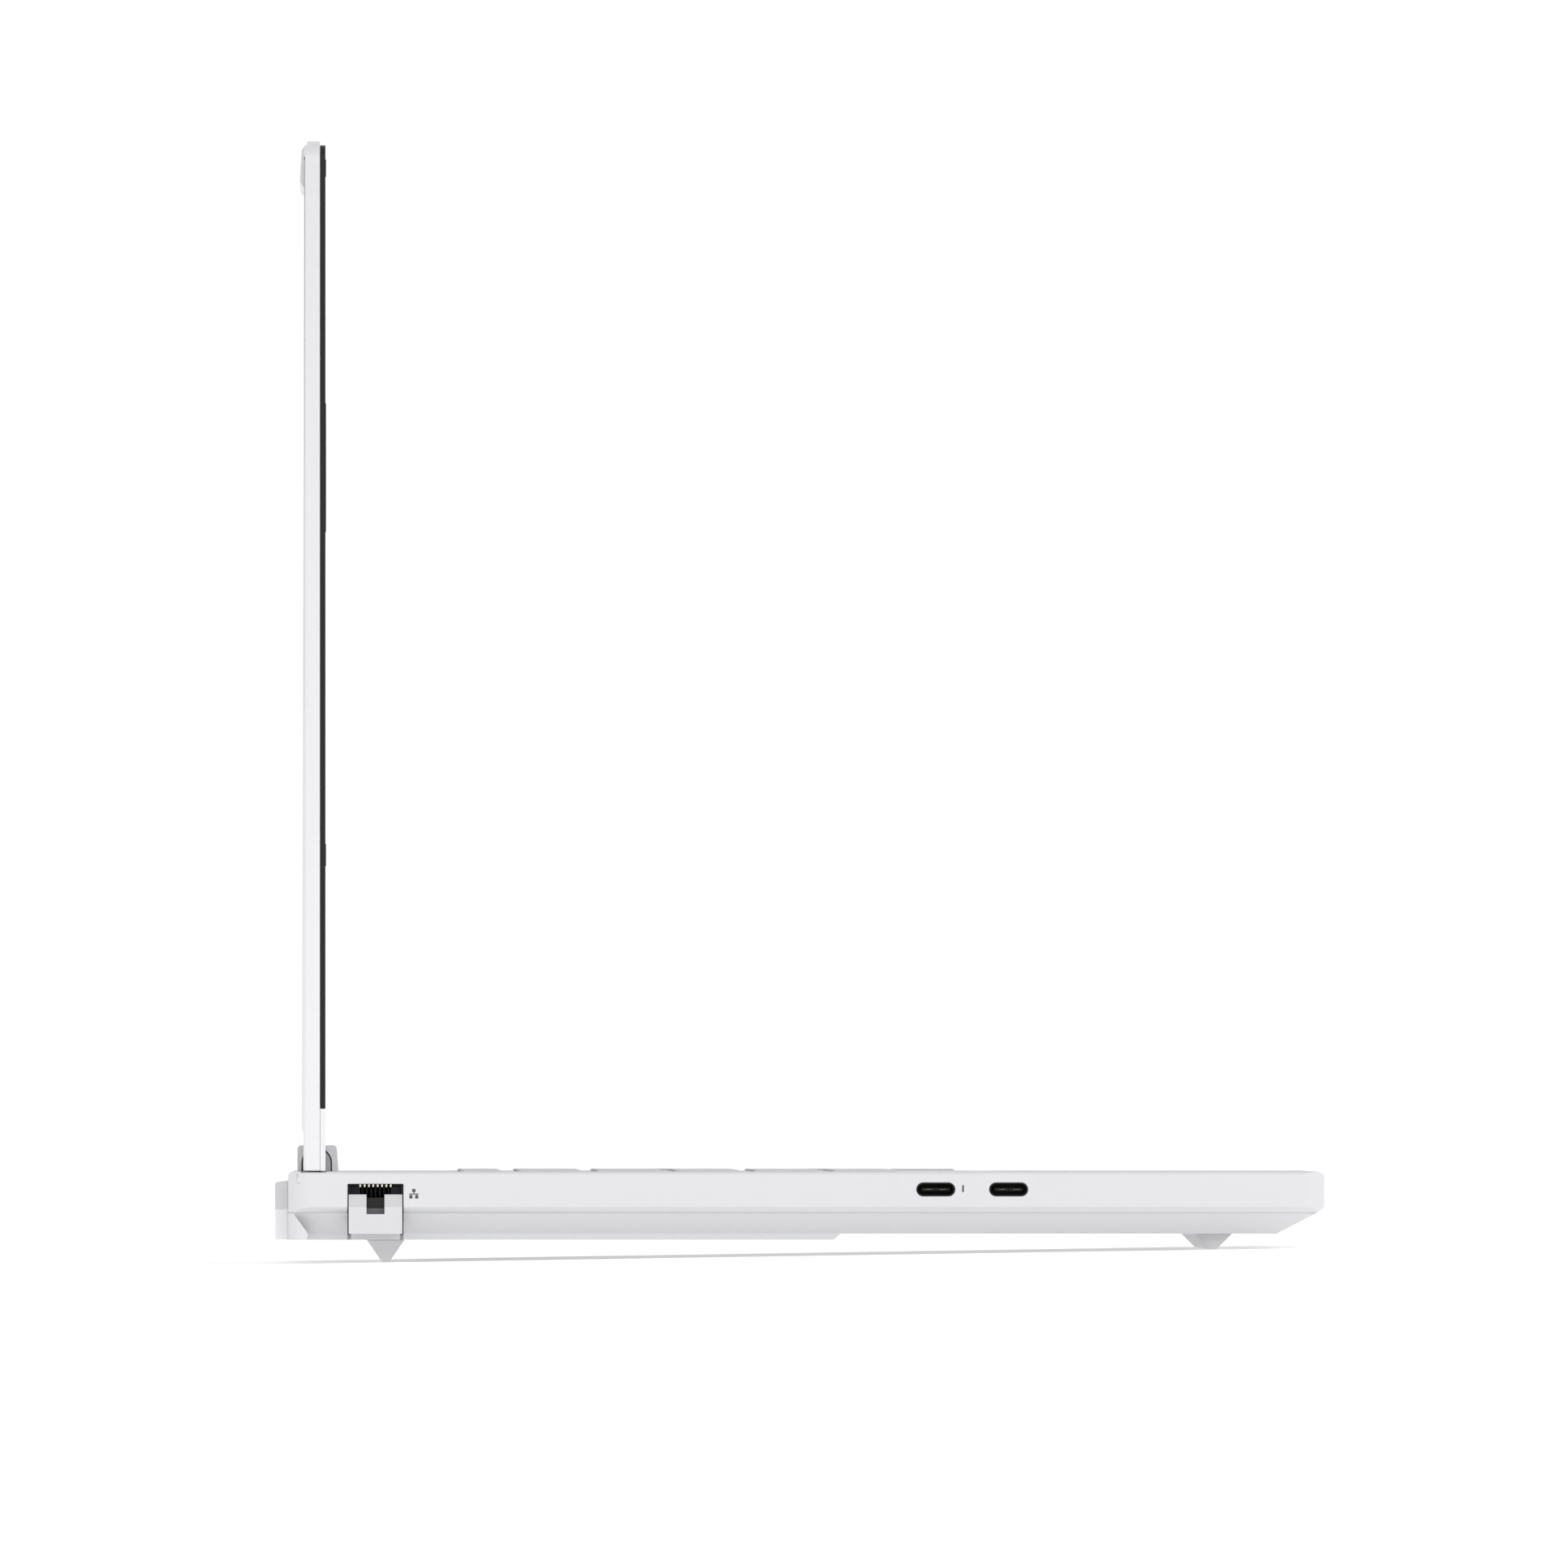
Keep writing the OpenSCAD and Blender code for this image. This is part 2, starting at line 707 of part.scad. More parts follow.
module display_bezel() {
    color([0.08, 0.08, 0.09]) difference() {
        intersection() {
            lid_blank();
            block([-wall_x, lid_front - 1, chin_top], [wall_x, bezel_back, lid_top + 5]);
        }
        block(
            [-screen_w / 2, lid_front - 1, screen_low],
            [screen_w / 2, bezel_back + 1, screen_low + screen_h]
        );
        translate([0, bezel_back + 1, camera_z]) rotate([90, 0, 0]) cylinder(r = camera_r, h = 3);
    }
}

module display_panel() {
    color([0.05, 0.05, 0.07])
        block([-panel_half, bezel_back, panel_low], [panel_half, bezel_back + panel_t, panel_high]);
}

module camera_module() {
    color("black") {
        block([-18, bezel_back + 0.2, panel_high + 0.2], [18, bezel_back + 1.4, camera_z + camera_r]);
        translate([0, bezel_back + 0.3, camera_z]) rotate([90, 0, 0]) cylinder(r = camera_r - 0.3, h = 1);
    }
}

module lid_bumpers() {
    color("dimgray") for (p = bumpers) for (s = [-1, 1])
        translate([s * p[0], 0, p[1]]) block([-p[2], lid_front - bumper_t, -p[3]], [p[2], lid_front, p[3]]);
}

// ---- Left side sockets ----

module network_jack() {
    color([0.1, 0.1, 0.1]) difference() {
        union() {
            block(
                [-wall_x + 0.9, jack_y - jack_w / 2 + 0.05, jaw_top + 0.1],
                [-wall_x + wall_t + 0.1, jack_y + jack_w / 2 - 0.05, jack_top - 0.05]
            );
            block(
                [-wall_x + wall_t + 0.05, jack_y - 7.7, seam_z + 0.1],
                [-153.5, jack_y + 7.7, jack_top + 1]
            );
            block([jack_low_x, jack_y - 7.7, 1.7], [-153.5, jack_y + 7.7, seam_z + 0.2]);
        }
        // Cavity for the plug, open below for the jaw.
        block([-wall_x, jack_y - 5.95, 0], [-158.5, jack_y + 5.95, jack_top - 0.4]);
        block([-160, jack_y - 5.95, 0], [-153, jack_y + 5.95, 5.2]);
        // Pin holes for the jaw.
        translate([jaw_pivot[0], jack_y, jaw_pivot[1]]) rotate([90, 0, 0])
            cylinder(r = 0.75, h = 20, center = true);
    }
}

module network_contacts() {
    color("gold") for (i = [0:7]) translate([0, jack_y + (i - 3.5) * contact_pitch, 0])
        block([-wall_x + 2, -0.2, jack_top - 0.75], [-158.5, 0.2, jack_top - 0.4]);
}

module network_jaw() {
    color("white") difference() {
        union() {
            along(jack_y - 6.3, jack_y + 6.3) polygon([
                [-wall_x, 1.4], [-wall_x + 1.7, 1.4], [-wall_x + 1.7, jaw_top],
                [-wall_x + 0.7, jaw_top], [-wall_x, jaw_facet_z]
            ]);
            block([-wall_x + 1.7 - eps, jack_y - 5.75, 1.4], [jaw_pivot[0], jack_y + 5.75, 2.7]);
            block([-slope_x, jack_y - 5.75, 0], [-158, jack_y + 5.75, 2]);
            translate([jaw_pivot[0], jack_y, jaw_pivot[1]]) rotate([90, 0, 0]) {
                cylinder(r = 1.4, h = 11.5, center = true);
                cylinder(r = 0.7, h = 14.6, center = true);
            }
        }
        // Channel for the plug's latch.
        block([-wall_x - 1, jack_y - 2.1, latch_low], [-wall_x + 3, jack_y + 2.1, jaw_top + 1]);
    }
}

module usb_c_shells() {
    color("dimgray") for (y = usb_c_ys) difference() {
        side_slot(-wall_x + 0.15, 9, y, usb_c_z, usb_c_w - 0.1, usb_c_h - 0.1);
        side_slot(-wall_x - 0.85, 8.6, y, usb_c_z, 8.34, 2.5);
    }
}

module usb_c_tongues() {
    color("black") for (y = usb_c_ys)
        block([-wall_x + 1.2, y - 3.3, usb_c_z - 0.35], [-wall_x + 7.75, y + 3.3, usb_c_z + 0.35]);
}

// ---- Right side sockets ----

module side_socket() {
    translate([0, usb_a_y, audio_z]) {
        color("silver") difference() {
            block([158, -7, -3.1], [wall_x - 0.3, 7, 3.1]);
            block([159, -6.4, -2.6], [wall_x + 1, 6.4, 2.6]);
        }
        color("black") block([159, -5.4, 0.2], [wall_x - 1.6, 5.4, 1.9]);
    }
}

module audio_jack() {
    color([0.1, 0.1, 0.1]) difference() {
        bar(157, wall_x - 0.2, audio_y, audio_z, 3.2);
        bar(158, wall_x + 1, audio_y, audio_z, audio_r);
    }
}

// Small slider that cuts the camera off. It stands at the front end of its slot.
module camera_switch() {
    y = switch_y - switch_travel / 2;
    color("gray") {
        side_slot(wall_x - wall_t - 0.2, wall_t + 0.1, y, audio_z, 5.6, 2);
        translate([wall_x - wall_t, y, audio_z]) block([-1.2, -4.6, -1.8], [-0.1, 4.6, 1.8]);
    }
}

// ---- Keys, touchpad and power button ----

// Square posts, or the holes for them, in the middle of a key.
module stems(k, w, z0, z1) {
    for (x = stem_places(k))
        translate([x - w / 2, (k[2] + k[3] - w) / 2, z0]) cube([w, w, z1 - z0]);
}

// A cap with a guide stem that dips into the plate below.
module key_cap(k) {
    translate([(k[0] + k[1]) / 2, (k[2] + k[3]) / 2, 0]) rising(key_low, key_high)
        round_rect(k[1] - k[0], k[3] - k[2], key_corner_r);
    stems(k, stem_w, stem_low, key_low + eps);
}

module key_caps(keys) {
    color("gainsboro") for (k = keys) key_cap(k);
}

module keyboard_plate() {
    color("lightslategray") difference() {
        block([main_x - 1, -40.2, plate_low], [numpad_x + 4 * numpad_pitch + 1, 81, plate_high]);
        // Notch for the socket beside it.
        block(
            [main_x - 2, usb_c_ys[0] - 5.2, plate_low - 1],
            [-wall_x + 9.5, usb_c_ys[0] + 5.2, plate_high + 1]
        );
        for (k = all_keys) stems(k, stem_w + 2 * stem_gap, plate_low - 1, plate_high + 1);
    }
}

module power_button() {
    color("silver") {
        rising(deck_z - 2.2, deck_z - 0.1) power_plan(0);
        rising(deck_z - 2.2, under_deck - 0.1) power_plan(1);
    }
}

module touchpad() {
    color("gainsboro") rising(deck_z - 1.7, deck_z - 0.12) touchpad_plan(0);
}

// ---- Inside the base ----

module main_board() {
    color("seagreen") rising(9.6, 10.6) difference() {
        translate([-153, -44]) square([303, 144]);
        for (s = [-1, 1]) translate([s * fan_x, fan_y + 2])
            square([2 * fan_half + 2, 2 * fan_half + 10], center = true);
    }
}

module chip_packages() {
    color("darkslategray") {
        block([-52, 42, 8.2], [-10, 66, 9.6]);
        block([14, 36, 8.2], [50, 72, 9.6]);
    }
}

module memory_modules() {
    color("seagreen") for (x = [-52, 22]) block([x - 34, -4, 7.4], [x + 34, 24, 8.4]);
    color("black") for (x = [-84, -10]) for (i = [0:3]) translate([x + i * 16, 0, 0])
        block([0, 2, 6.6], [12, 16, 7.4]);
    color("dimgray") for (x = [-52, 22]) block([x - 34, 24, 7], [x + 34, 28, 9.6]);
}

module solid_state_drive() {
    color("seagreen") block([70, -20, 7.4], [92, 24, 8.4]);
    color("black") for (y = [-16, 2]) block([73, y, 6.4], [89, y + 14, 7.4]);
}

module wireless_card() {
    color("seagreen") block([104, -4, 7.4], [126, 26, 8.2]);
    color("silver") block([107, 2, 6.2], [123, 20, 7.4]);
}

module battery_pack() {
    color([0.15, 0.15, 0.16]) {
        for (i = [0:3]) translate([-116 + i * 58.2, 0, 0]) block([0, -108, 2.8], [57, -56, 9.4]);
        block([-116, -56, 2.8], [115.6, -50, 8.6]);
    }
}

module speakers() {
    color([0.12, 0.12, 0.13]) for (s = [-1, 1]) block([s * 135 - 14, -96, 3.2], [s * 135 + 14, -56, 9]);
}

module heat_pipes() {
    color([0.72, 0.45, 0.3]) {
        for (x = [-31, 32]) {
            block([x - 24, 38, 7.2], [x + 24, 70, 8.2]);
            block([x - 10, 42, 5.2], [x - 3, 106, 7.2]);
            block([x + 3, 42, 5.2], [x + 10, 106, 7.2]);
        }
        block([-132, 102, 5.2], [132, 109.5, 7.2]);
    }
}

module fin_stacks() {
    color("silver") difference() {
        for (s = [-1, 1]) translate([s * fan_x - 33, 0, 0]) {
            block([0, 101, 12], [66, 110.6, 12.4]);
            for (i = [0:30]) translate([i * 2.185, 0, 0]) block([0, 101, 2.4], [0.45, 110.6, 12 + eps]);
        }
        block([-140, 102 - 0.05, 5.2 - 0.05], [140, 109.5 + 0.05, 7.2 + 0.05]);
    }
}

module fan_housing_left() {
    color([0.13, 0.13, 0.14]) difference() {
        block(
            [-fan_x - fan_half, fan_y - fan_half, fan_low],
            [-fan_x + fan_half, fan_y + fan_half, fan_high]
        );
        translate([-fan_x, fan_y, fan_low + 0.8]) cylinder(r = 31, h = fan_high - fan_low - 1.6);
        block([-fan_x - 30, fan_y, fan_low + 0.8], [-fan_x + 30, fan_y + fan_half + 1, fan_high - 0.8]);
        // Air inlet, with the motor's spider left in the lower face.
        difference() {
            translate([-fan_x, fan_y, fan_low - 1]) cylinder(r = 20, h = 3);
            translate([-fan_x, fan_y, fan_low - 2]) cylinder(r = 8, h = 5);
            for (a = [0:120:240])
                translate([-fan_x, fan_y, fan_low - 2]) rotate(a) translate([0, -1.5, 0]) cube([24, 3, 5]);
        }
        translate([-fan_x, fan_y, fan_high - 2]) cylinder(r = 20, h = 4);
    }
    color([0.13, 0.13, 0.14]) translate([-fan_x, fan_y, fan_low + 0.8 - eps]) cylinder(r = 1, h = 3);
}

module fan_housing_right() {
    mirror([1, 0, 0]) fan_housing_left();
}

module fan_rotor(x) {
    color("black") translate([x, fan_y, fan_low + 1.2]) difference() {
        union() {
            cylinder(r = 9, h = 4.4);
            for (i = [0:20])
                rotate(i * 360 / 21) translate([8.5, 0, 0]) rotate(-18)
                    translate([0, -0.35, 0]) cube([20, 0.7, 4]);
        }
        translate([0, 0, -1]) cylinder(r = 1.05, h = 4.2);
    }
}

// ---- Assembly ----

stand() top_cover();
stand() key_lattice();
stand() bottom_cover();
stand() keyboard_plate();
stand() rear_port_block();
stand() rear_sockets();
stand() hinge_cap_left();
stand() hinge_cap_right();
stand() hinge_bracket_left();
stand() hinge_bracket_right();
stand() rear_foot();
stand() front_foot();
stand() bottom_screws();
stand() main_board();
stand() chip_packages();
stand() memory_modules();
stand() solid_state_drive();
stand() wireless_card();
stand() battery_pack();
stand() speakers();
stand() heat_pipes();
stand() fin_stacks();
stand() fan_housing_left();
stand() fan_housing_right();
stand() fan_rotor(-fan_x);  // fan_rotor_left
stand() fan_rotor(fan_x);  // fan_rotor_right
stand() network_jack();
stand() network_contacts();
stand() network_jaw();
stand() usb_c_shells();
stand() usb_c_tongues();
stand() side_socket();
stand() audio_jack();
stand() camera_switch();
stand() power_button();
stand() touchpad();
stand() lid_cover();
stand() chin_cover();
stand() display_bezel();
stand() display_panel();
stand() camera_module();
stand() lid_bumpers();
stand() lid_arm_left();
stand() lid_arm_right();
stand() key_caps(function_keys);
stand() key_caps(number_keys);
stand() key_caps(top_letter_keys);
stand() key_caps(home_keys);
stand() key_caps(bottom_letter_keys);
stand() key_caps(modifier_keys);
stand() key_caps(numpad_keys);
stand() key_caps([backspace]);  // backspace_key
stand() key_caps([enter]);  // enter_key
stand() key_caps([space]);  // space_bar
stand() key_caps([numpad_plus]);  // numpad_plus_key
stand() key_caps([numpad_enter]);  // numpad_enter_key
stand() key_caps([arrows[0]]);  // arrow_up_key
stand() key_caps([arrows[1]]);  // arrow_left_key
stand() key_caps([arrows[2]]);  // arrow_down_key
stand() key_caps([arrows[3]]);  // arrow_right_key
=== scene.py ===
"""Looks of a slim light-grey laptop computer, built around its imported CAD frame."""
import json
import math
from collections import namedtuple

import bmesh
import bpy
from mathutils import Matrix, Vector

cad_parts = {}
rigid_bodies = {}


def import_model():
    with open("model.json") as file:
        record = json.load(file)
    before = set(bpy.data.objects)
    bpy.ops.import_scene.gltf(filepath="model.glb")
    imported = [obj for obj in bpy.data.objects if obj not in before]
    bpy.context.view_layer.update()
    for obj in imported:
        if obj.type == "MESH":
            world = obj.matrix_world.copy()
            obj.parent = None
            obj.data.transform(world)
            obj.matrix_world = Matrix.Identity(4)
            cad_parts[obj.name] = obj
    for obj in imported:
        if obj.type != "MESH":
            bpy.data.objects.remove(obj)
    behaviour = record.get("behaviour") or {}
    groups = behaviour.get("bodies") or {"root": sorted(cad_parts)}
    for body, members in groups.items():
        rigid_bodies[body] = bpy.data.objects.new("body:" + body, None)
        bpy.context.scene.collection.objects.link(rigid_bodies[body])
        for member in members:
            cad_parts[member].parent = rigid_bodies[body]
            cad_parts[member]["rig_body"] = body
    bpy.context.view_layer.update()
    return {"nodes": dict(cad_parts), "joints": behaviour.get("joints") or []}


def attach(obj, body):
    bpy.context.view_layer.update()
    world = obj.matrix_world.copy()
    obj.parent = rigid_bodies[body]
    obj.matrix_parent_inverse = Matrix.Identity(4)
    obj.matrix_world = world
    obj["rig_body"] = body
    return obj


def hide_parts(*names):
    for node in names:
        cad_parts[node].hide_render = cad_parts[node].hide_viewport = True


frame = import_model()
NODES = frame["nodes"]
JOINTS = {joint["name"]: joint for joint in frame["joints"]}

# The computer is drawn level, in millimetres, and stands on its feet with a slight slope.
# The level frame has its lid hinge at (0, HINGE_Y, HINGE_Z), its Z along the fans' axes.
MM = 0.001
HINGE_Y = 113.05
HINGE_Z = 18.55
HINGE = Vector(JOINTS["lid_hinge"]["pos_m"])
UP = Vector(JOINTS["fan_left_spin"]["axis"]).normalized()
RIGHT = Vector((1, 0, 0))
REAR = UP.cross(RIGHT)


def world(point):
    """A level point in millimetres, as a place in the frame in metres."""
    x, y, z = point
    return HINGE + (RIGHT * x + REAR * (y - HINGE_Y) + UP * (z - HINGE_Z)) * MM


def level(point):
    """A place in the frame in metres, as a level point in millimetres."""
    away = (Vector(point) - HINGE) / MM
    return Vector((away.dot(RIGHT), away.dot(REAR) + HINGE_Y, away.dot(UP) + HINGE_Z))


def level_box(node):
    """Lowest and highest corner of a CAD node, level."""
    points = [level(v.co) for v in NODES[node].data.vertices]
    low = Vector([min(p[i] for p in points) for i in range(3)])
    high = Vector([max(p[i] for p in points) for i in range(3)])
    return low, high


SIDE_X = level_box("top_cover")[0].x  # the left side's face


# ---- Materials ----

NOISE_SPAN = (0.3, 0.7)     # holds most of a noise's values
CLOUD_SPAN = (0.35, 0.65)   # narrower, for more contrast in a wide, smooth noise
CLOUD_MM = 38
GLOSS_SPREAD = 0.05
TONE_SPREAD = 0.02


class Shader:
    """A Principled material under construction."""

    def __init__(self, name, roughness=0.5, metallic=0.0, specular=0.5, coat=0.0):
        self.material = bpy.data.materials.new(name)
        self.material.use_nodes = True
        self.tree = self.material.node_tree
        self.out = self.tree.nodes["Principled BSDF"]
        self.set("Roughness", roughness)
        self.set("Metallic", metallic)
        self.set("Specular IOR Level", specular)
        self.set("Coat Weight", coat)
        self.place = self.node("ShaderNodeTexCoord").outputs["Object"]

    def node(self, kind, **settings):
        made = self.tree.nodes.new(kind)
        for key, value in settings.items():
            setattr(made, key, value)
        return made

    def set(self, socket, value):
        self.out.inputs[socket].default_value = value

    def link(self, a, b):
        self.tree.links.new(a, b)

    def stretched(self, scale):
        """Object coordinates, stretched."""
        mapping = self.node("ShaderNodeMapping")
        mapping.inputs["Scale"].default_value = scale
        self.link(self.place, mapping.inputs["Vector"])
        return mapping.outputs["Vector"]

    def noise(self, size_mm, detail=2.0, place=None):
        made = self.node("ShaderNodeTexNoise")
        made.inputs["Scale"].default_value = 1 / (size_mm * MM)
        made.inputs["Detail"].default_value = detail
        self.link(place or self.place, made.inputs["Vector"])
        return made.outputs["Fac"]

    def remap(self, value, span, low=0, high=1):
        """Spreads the span of a value over low to high, and holds it there."""
        made = self.node("ShaderNodeMapRange")
        for i, number in enumerate((*span, low, high)):
            made.inputs[i + 1].default_value = number
        self.link(value, made.inputs[0])
        return made.outputs[0]

    def mix(self, factor, a, b):
        """Mixes two colours; each is a colour or another node's output."""
        made = self.node("ShaderNodeMix", data_type="RGBA")
        self.link(factor, made.inputs["Factor"])
        for socket, colour in ((made.inputs[6], a), (made.inputs[7], b)):
            if isinstance(colour, bpy.types.NodeSocket):
                self.link(colour, socket)
            else:
                socket.default_value = (*colour, 1)
        return made.outputs[2]

    def speckled(self, grain, colour, dark, light):
        """A colour that the grain makes darker here and lighter there."""
        return self.mix(self.remap(grain, NOISE_SPAN), shade(colour, dark), shade(colour, light))

    def above(self, height_mm, softness_mm=0.05):
        """0 below a level height and 1 above it."""
        dot = self.node("ShaderNodeVectorMath", operation="DOT_PRODUCT")
        dot.inputs[1].default_value = UP
        self.link(self.place, dot.inputs[0])
        edge = world((0, HINGE_Y, height_mm)).dot(UP)
        return self.remap(dot.outputs["Value"], (edge - softness_mm * MM, edge + softness_mm * MM))

    def colour(self, socket):
        self.link(socket, self.out.inputs["Base Color"])

    def rough(self, value, low, high):
        self.link(self.remap(value, NOISE_SPAN, low, high), self.out.inputs["Roughness"])

    def bump(self, value, depth_um, strength=0.6):
        made = self.node("ShaderNodeBump")
        made.inputs["Strength"].default_value = strength
        made.inputs["Distance"].default_value = depth_um * MM * MM
        self.link(value, made.inputs["Height"])
        self.link(made.outputs["Normal"], self.out.inputs["Normal"])


def shade(colour, factor):
    return tuple(min(1.0, channel * factor) for channel in colour)


def textured(name, roughness, grain_mm=0.22, depth_um=5, **settings):
    """A shader with fine grain and uneven gloss but no colour yet, and its two noises."""
    s = Shader(name, roughness, **settings)
    grain = s.noise(grain_mm, 3)
    cloudy = s.noise(CLOUD_MM, 2)
    s.rough(cloudy, roughness - GLOSS_SPREAD, roughness + GLOSS_SPREAD)
    s.bump(grain, depth_um)
    return s, grain, cloudy


def grained(name, colour, roughness, spread=TONE_SPREAD, **settings):
    """A moulded or blasted surface: fine grain, faint mottling and uneven gloss."""
    s, grain, cloudy = textured(name, roughness, **settings)
    fine = s.speckled(grain, colour, 1 - spread, 1 + spread)
    mottled = s.remap(cloudy, CLOUD_SPAN, 0, spread * 4)
    s.colour(s.mix(mottled, fine, shade(colour, 1 - spread * 2)))
    return s


def two_tone(name, low_colour, high_colour, height_mm, roughness, **settings):
    """A grained surface that changes tone at a level height."""
    s, grain, _ = textured(name, roughness, **settings)
    below = s.speckled(grain, low_colour, 1 - TONE_SPREAD, 1 + TONE_SPREAD)
    above = s.speckled(grain, high_colour, 1 - TONE_SPREAD, 1 + TONE_SPREAD)
    s.colour(s.mix(s.above(height_mm), below, above))
    return s


def lid_with_painted_light(name, colour, roughness):
    """The lid's blasted metal, a little paler towards the hinge as painted light from the floor and darker
    towards the top as painted shade.
    """
    s, grain, _ = textured(name, roughness, metallic=0.12)
    top = s.speckled(grain, colour, 0.86, 0.90)
    foot = s.speckled(grain, colour, 1.05, 1.09)
    middle_height, half_fade = 140, 160
    s.colour(s.mix(s.above(middle_height, half_fade), foot, top))
    return s


def brushed(name, colour, roughness, along=(0.04, 1, 1)):
    """Metal with fine lines along one axis."""
    s = Shader(name, roughness, metallic=1.0)
    lines = s.noise(0.12, 4, s.stretched(along))
    s.colour(s.speckled(lines, colour, 0.88, 1.08))
    s.rough(lines, roughness - 0.06, roughness + 0.1)
    s.bump(lines, depth_um=2, strength=0.4)
    return s


def screen_glass(name):
    """A switched-off display: near black, with faint cloudiness under an anti-glare coat."""
    s = Shader(name, 0.28, specular=0.4, coat=0.1)
    cloudy = s.noise(60, 2)
    s.colour(s.mix(s.remap(cloudy, CLOUD_SPAN), (0.0085, 0.0085, 0.011), (0.013, 0.013, 0.017)))
    s.rough(s.noise(25, 2), 0.26, 0.31)
    return s


def circuit_board(name):
    """Green solder mask with copper traces under it."""
    s = Shader(name, 0.38, coat=0.25)
    traces = s.node("ShaderNodeTexBrick")
    traces.inputs["Scale"].default_value = 260
    traces.inputs["Mortar Size"].default_value = 0.03
    traces.inputs["Color1"].default_value = (0.012, 0.10, 0.055, 1)
    traces.inputs["Color2"].default_value = (0.016, 0.125, 0.070, 1)
    traces.inputs["Mortar"].default_value = (0.05, 0.22, 0.11, 1)
    s.link(s.place, traces.inputs["Vector"])
    shadows = s.remap(s.noise(9, 2), CLOUD_SPAN, 0, 0.5)
    s.colour(s.mix(shadows, traces.outputs["Color"], (0.010, 0.08, 0.045)))
    s.bump(traces.outputs["Fac"], 12)
    return s


# Level heights at which a finish changes tone. At the seam, the port block's edge, the feet's edge and the
# jaw's facet the change is painted light and shade.
SEAM_Z = 6.27
BLOCK_EDGE_Z = 7.15
FOOT_EDGE_Z = -2.3
JAW_FACET_Z = 7.7
LATCH_EDGE_Z = 7.4

SHELL_GREY = (0.690, 0.690, 0.704)
# Painted shadow: the bottom cover above SEAM_Z, along the seam, takes this dark grey as the shadow line of
# the seam's gap.
SEAM_SHADOW_GREY = (0.45, 0.45, 0.46)
FINISHES = {
    "top_shell": grained("blasted_shell", SHELL_GREY, 0.46, metallic=0.12),
    "bottom_shell": two_tone("blasted_underside_seam_shadow", SHELL_GREY, SEAM_SHADOW_GREY, SEAM_Z, 0.5, metallic=0.12),
    # The lid's tone is painted light and shade: darker towards the top, paler towards the hinge.
    "lid_shell": lid_with_painted_light("blasted_lid_painted_light", (0.735, 0.735, 0.751), 0.44),
    "chin": grained("light_chin", (0.78, 0.78, 0.80), 0.42, grain_mm=0.3),
    "bezel": grained("black_bezel", (0.006, 0.0065, 0.008), 0.4, grain_mm=0.3, spread=0.08, specular=0.3),
    "screen": screen_glass("dark_screen"),
    "lattice": grained("key_web", (0.66, 0.66, 0.68), 0.52, metallic=0.1),
    "key_cap": grained("key_plastic", (0.60, 0.60, 0.615), 0.5, grain_mm=0.35, depth_um=9),
    "touchpad": grained("touchpad_surface", (0.66, 0.66, 0.675), 0.36, grain_mm=0.15, depth_um=2,
                        coat=0.1),
    "button": brushed("button_metal", (0.62, 0.62, 0.64), 0.34),
    # The hinge caps are a darker grey than the shell as painted shade.
    "hinge_cap": grained("hinge_cap_painted_shade", (0.600, 0.600, 0.612), 0.4, grain_mm=0.25),
    "steel": brushed("brushed_steel", (0.45, 0.46, 0.48), 0.32),
    # The port block is paler below BLOCK_EDGE_Z as painted light, and darker above it, on its
    # inward-leaning upper face, as painted shade.
    "rear_block": two_tone("port_block_painted_light_and_shade", (0.88, 0.88, 0.89), (0.685, 0.685, 0.697),
                           BLOCK_EDGE_Z, 0.45),
    "socket_steel": brushed("socket_steel", (0.30, 0.30, 0.31), 0.28, along=(1, 0.05, 1)),
    "black_plastic": grained("black_plastic", (0.006, 0.006, 0.0065), 0.42, grain_mm=0.3, spread=0.1,
                             specular=0.2),
    # The feet are darker below FOOT_EDGE_Z as painted shade from the floor beneath them.
    "foot_rubber": two_tone("foot_rubber", (0.78, 0.78, 0.79), (0.86, 0.86, 0.87), FOOT_EDGE_Z, 0.62,
                            depth_um=9),
    "bumper_rubber": grained("bumper_rubber", (0.014, 0.014, 0.016), 0.6, grain_mm=0.2, spread=0.1,
                             depth_um=9),
    "contact_gold": brushed("contact_gold", (0.72, 0.66, 0.50), 0.25),
    # The jaw is darker above JAW_FACET_Z, on its sloping upper facet, as painted shade.
    "jaw": two_tone("jaw_plastic_painted_shade", (0.66, 0.66, 0.672), (0.57, 0.57, 0.58), JAW_FACET_Z, 0.44),
    "board": circuit_board("circuit_board"),
    "copper": brushed("drawn_copper", (0.72, 0.40, 0.26), 0.3, along=(1, 0.05, 1)),
    "fins": brushed("fin_metal", (0.75, 0.75, 0.76), 0.28, along=(1, 0.2, 1)),
}
LEGEND_INK = grained("legend_ink", (0.075, 0.075, 0.080), 0.5, grain_mm=0.3, spread=0.08)
MARK_INK = grained("port_mark_ink", (0.085, 0.085, 0.090), 0.5, grain_mm=0.3, spread=0.08)
SOCKET_FLOOR = grained("socket_moulding", (0.008, 0.008, 0.0085), 0.42, grain_mm=0.4, spread=0.12,
                       specular=0.2)
LATCH_BLOCK = two_tone("latch_moulding", (0.115, 0.115, 0.12), (0.012, 0.012, 0.0125), LATCH_EDGE_Z,
                       0.4, specular=0.25)
TICK_METAL = brushed("contact_tips", (0.80, 0.79, 0.74), 0.3, along=(1, 1, 0.05))
STRIP_GOLD = brushed("plug_contacts", (0.74, 0.70, 0.54), 0.35)
# Painted shade: the arch plate's darker grey stands for the shade inside each hinge cap's arch.
ARCH_PAINTED_SHADE = grained("hinge_arch_painted_shade", (0.390, 0.390, 0.399), 0.42)
